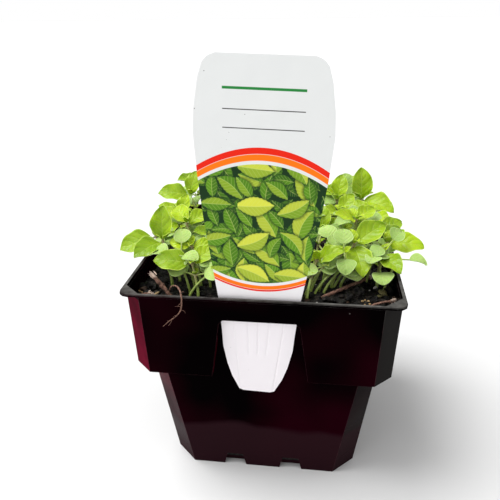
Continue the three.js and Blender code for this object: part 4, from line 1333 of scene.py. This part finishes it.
def stem_finish():
    finish, tree, shader = new_finish(
        "basil_stem", Roughness=0.45, Subsurface_Weight=0.3, Subsurface_Radius=(0.6, 1.0, 0.3),
        Subsurface_Scale=0.0012,
    )
    ridges = grain_of(object_place(tree), 900.0, 3.0)
    colour = mix_colours(spread(ridges, 0.3, 0.7), STEM_GREEN, STEM_LIGHT)
    colour = mix_colours(painted(tree, "tone"), colour, STEM_BROWN)
    plug(shader, {"Base Color": colour})
    roughen(shader, ridges, 0.3, 0.0002)
    return finish


PLANT_FINISHES = [stem_finish(), *[leaf_finish(name, look) for name, look in LEAF_LOOKS.items()]]


def grow_hairs(bm, dice, plant):
    """Short pale hairs that stand out of the stem all round."""
    hairs = bmesh.new()
    for _ in range(HAIRS["count"]):
        share = dice.uniform(0.05, 0.98)
        about = dice.uniform(0, 2 * math.pi)
        out = Vector((math.cos(about), math.sin(about), dice.uniform(-0.2, 0.5))).normalized()
        root = stem_point(plant, share) + out * 0.4
        hair = bmesh.ops.create_cone(
            hairs, cap_ends=True, segments=3, radius1=HAIRS["root"], radius2=HAIRS["point"],
            depth=dice.uniform(*HAIRS["long"]),
        )["verts"]
        stand = Matrix.Translation(root + out * 0.3) @ out.to_track_quat("Z", "Y").to_matrix().to_4x4()
        bmesh.ops.transform(hairs, matrix=stand, verts=hair)
    join(bm, hairs)


def keep_inside(bm, crown):
    """Draws the plant in towards its crown, a little at a time, until it lies inside the CAD's box."""
    low, high = [Vector(corner) / MM for corner in cad_box]
    nearer = Matrix.Diagonal((0.99, 0.99, 1)).to_4x4()
    while any(not low[axis] <= vert.co[axis] <= high[axis] for vert in bm.verts for axis in (0, 1)):
        bmesh.ops.transform(bm, matrix=nearer, space=Matrix.Translation(-crown), verts=bm.verts)


def grow_stem(bm, plant, crown):
    """The stem, thicker where leaves leave it, and brownish round those places."""
    foot = plant["foot"]
    centres = [Vector((*foot, SOIL_TOP - 5)), Vector((*foot, SOIL_TOP - 1))]
    centres += [stem_point(plant, step / 12) for step in range(13)]
    centres.append(crown + Vector((0, 0, 1.0)))
    radii = list(STEM["foot"])
    for step in range(13):
        t = step / 12
        swell = STEM["at_node"] * math.exp(-((t - SEED_NODE) / 0.05) ** 2)
        swell += STEM["at_crown"] * math.exp(-((t - 1) / 0.05) ** 2)
        radii.append(STEM["radius"] - STEM["thinner"] * t + swell)
    radii.append(STEM["tip"])
    grow_stick(bm, centres, radii, 9)
    node = stem_point(plant, SEED_NODE)
    paint(bm, "tone", 0, lambda place: max(
        0.0, 0.75 - (place - node).length * 0.22, 0.85 - (place - crown).length * 0.25,
    ))


def new_plant():
    bm = bmesh.new()
    for name in LEAF_LAYERS:
        bm.verts.layers.float.new(name)
    return bm


def grow_seedling(number, plant, play):
    node = f"seedling_{number:02d}"
    plant = found_in_frame(plant, play, node)
    dice = random.Random(number)
    bm = new_plant()
    crown = Vector(plant["crown"])
    grow_stem(bm, plant, crown)
    for kind, length, placed in leaves_of(plant):
        before = len(bm.verts)
        reach = length * kind["stalk"] + 0.5
        shares = (0, 0.25, 0.5, 0.75, 1)
        stalk = [placed @ Vector((reach * share, 0, -STALK_SAG * share)) for share in shares]
        grow_stick(bm, stalk, STALK_RADII, 8)
        paint(bm, "tone", before, lambda place: max(0.0, 0.7 - 0.3 * (place - placed.translation).length))
        grow_leaf(bm, dice, kind, length, placed, dice.random())
    tip = crown + Vector((0, 0, 0.6))
    axil = stem_point(plant, SEED_NODE + 0.02)
    # The young pair at the tip is painted lighter and the pair at the lower node darker: partly young
    # leaves' own paler green, partly painted light above and painted shade below.
    for about in (0, 180):
        placed = leaf_frame(tip, plant["leaves"][0][0] + 90 + about, dice.uniform(*TIP_PAIR["lift"]), 0)
        grow_leaf(bm, dice, YOUNG_LEAF, dice.uniform(*TIP_PAIR["long"]), placed, 0.7 + 0.3 * dice.random())
        placed = leaf_frame(axil, plant["seed_turn"] + 90 + about, dice.uniform(*AXIL_PAIR["lift"]), 0)
        grow_leaf(bm, dice, YOUNG_LEAF, dice.uniform(*AXIL_PAIR["long"]), placed, 0.3 + 0.4 * dice.random())
    grow_hairs(bm, dice, plant)
    keep_inside(bm, crown)
    piece = add_piece(bm, f"basil_{number:02d}", PLANT_FINISHES, 50)
    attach(piece, "root")
    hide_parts(node)


def sow_seedlings():
    for number, (foot, crown, leaves, seeds) in enumerate(FRONT_SEEDLINGS, 1):
        across = leaves[0][0] + 90 if seeds is None else seeds
        grow_seedling(number, {
            "foot": foot, "crown": crown, "leaves": leaves, "faced": 1,
            "seed_turn": across + draw(-15, 15), "seed_lift": draw(0, 24),
        }, FRONT_PLAY)
    for number, (x, y) in enumerate(REAR_FEET, len(FRONT_SEEDLINGS) + 1):
        foot = (x + draw(-1.5, 1.5), y + draw(-1.5, 1.5))
        crown = (foot[0] + draw(-4, 4), foot[1] + draw(-4, 4), 89 + draw(0, 7))
        turn = draw(0, 360)
        leaves = [(turn + about + draw(-12, 12), draw(8, 34), draw(11, 15)) for about in (0, 180)]
        grow_seedling(number, {
            "foot": foot, "crown": crown, "leaves": leaves, "faced": 0.5,
            "seed_turn": leaves[0][0] + 90 + draw(-15, 15), "seed_lift": draw(0, 24),
        }, REAR_PLAY)


def grow_sprout(dice, plant, turn, tilt, length, pair):
    """A seedling that came up late: a thin stem, two seed leaves, and the first true pair if it is out."""
    bm = new_plant()
    crown = Vector(plant["crown"])
    centres = [Vector((*plant["foot"], SOIL_TOP - deep)) for deep in (3, 1)]
    centres += [stem_point(plant, step / 9) for step in range(10)]
    thinner = [0, 0, *range(10)]
    grow_stick(bm, centres, [SPROUT_STEM["radius"] - SPROUT_STEM["thinner"] * step for step in thinner], 8)
    paint(bm, "tone", 0, lambda place: max(0.0, 0.6 - (place - crown).length * 0.2))
    for about in (0, 180):
        across = math.radians(turn + about)
        faced = tilt if about == 0 else 0.55 * tilt
        lift = faced * math.sin(across) + dice.uniform(0, 14)
        placed = leaf_frame(crown, turn + about, lift, faced * math.cos(across))
        reach = length * SEED_LEAF["stalk"]
        stalk = [placed @ Vector((reach * share, 0, 0)) for share in (0, 0.4, 0.8, 1.1)]
        grow_stick(bm, stalk, SPROUT_STALK_RADII, 7)
        grow_leaf(bm, dice, SEED_LEAF, length, placed, dice.random())
        if pair:
            roll = FACING_ROLL * math.cos(across + math.pi / 2)
            placed = leaf_frame(crown, turn + 90 + about, dice.uniform(25, 60), roll)
            grow_leaf(bm, dice, FIRST_PAIR, pair, placed, dice.random())
    grow_hairs(bm, dice, plant)
    return bm


def sow_late_sprouts():
    """The crop of late seedlings, which fills the gaps between the others and is one piece."""
    dice = random.Random(77)
    crop = bmesh.new()
    for foot, crown, (turn, tilt, length), pair in LATE_SPROUTS:
        join(crop, grow_sprout(dice, {"foot": foot, "crown": crown}, turn, tilt, length, pair))
    piece = add_piece(crop, "late_sprouts", PLANT_FINISHES, 50)
    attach(piece, "root")


sow_seedlings()
sow_late_sprouts()
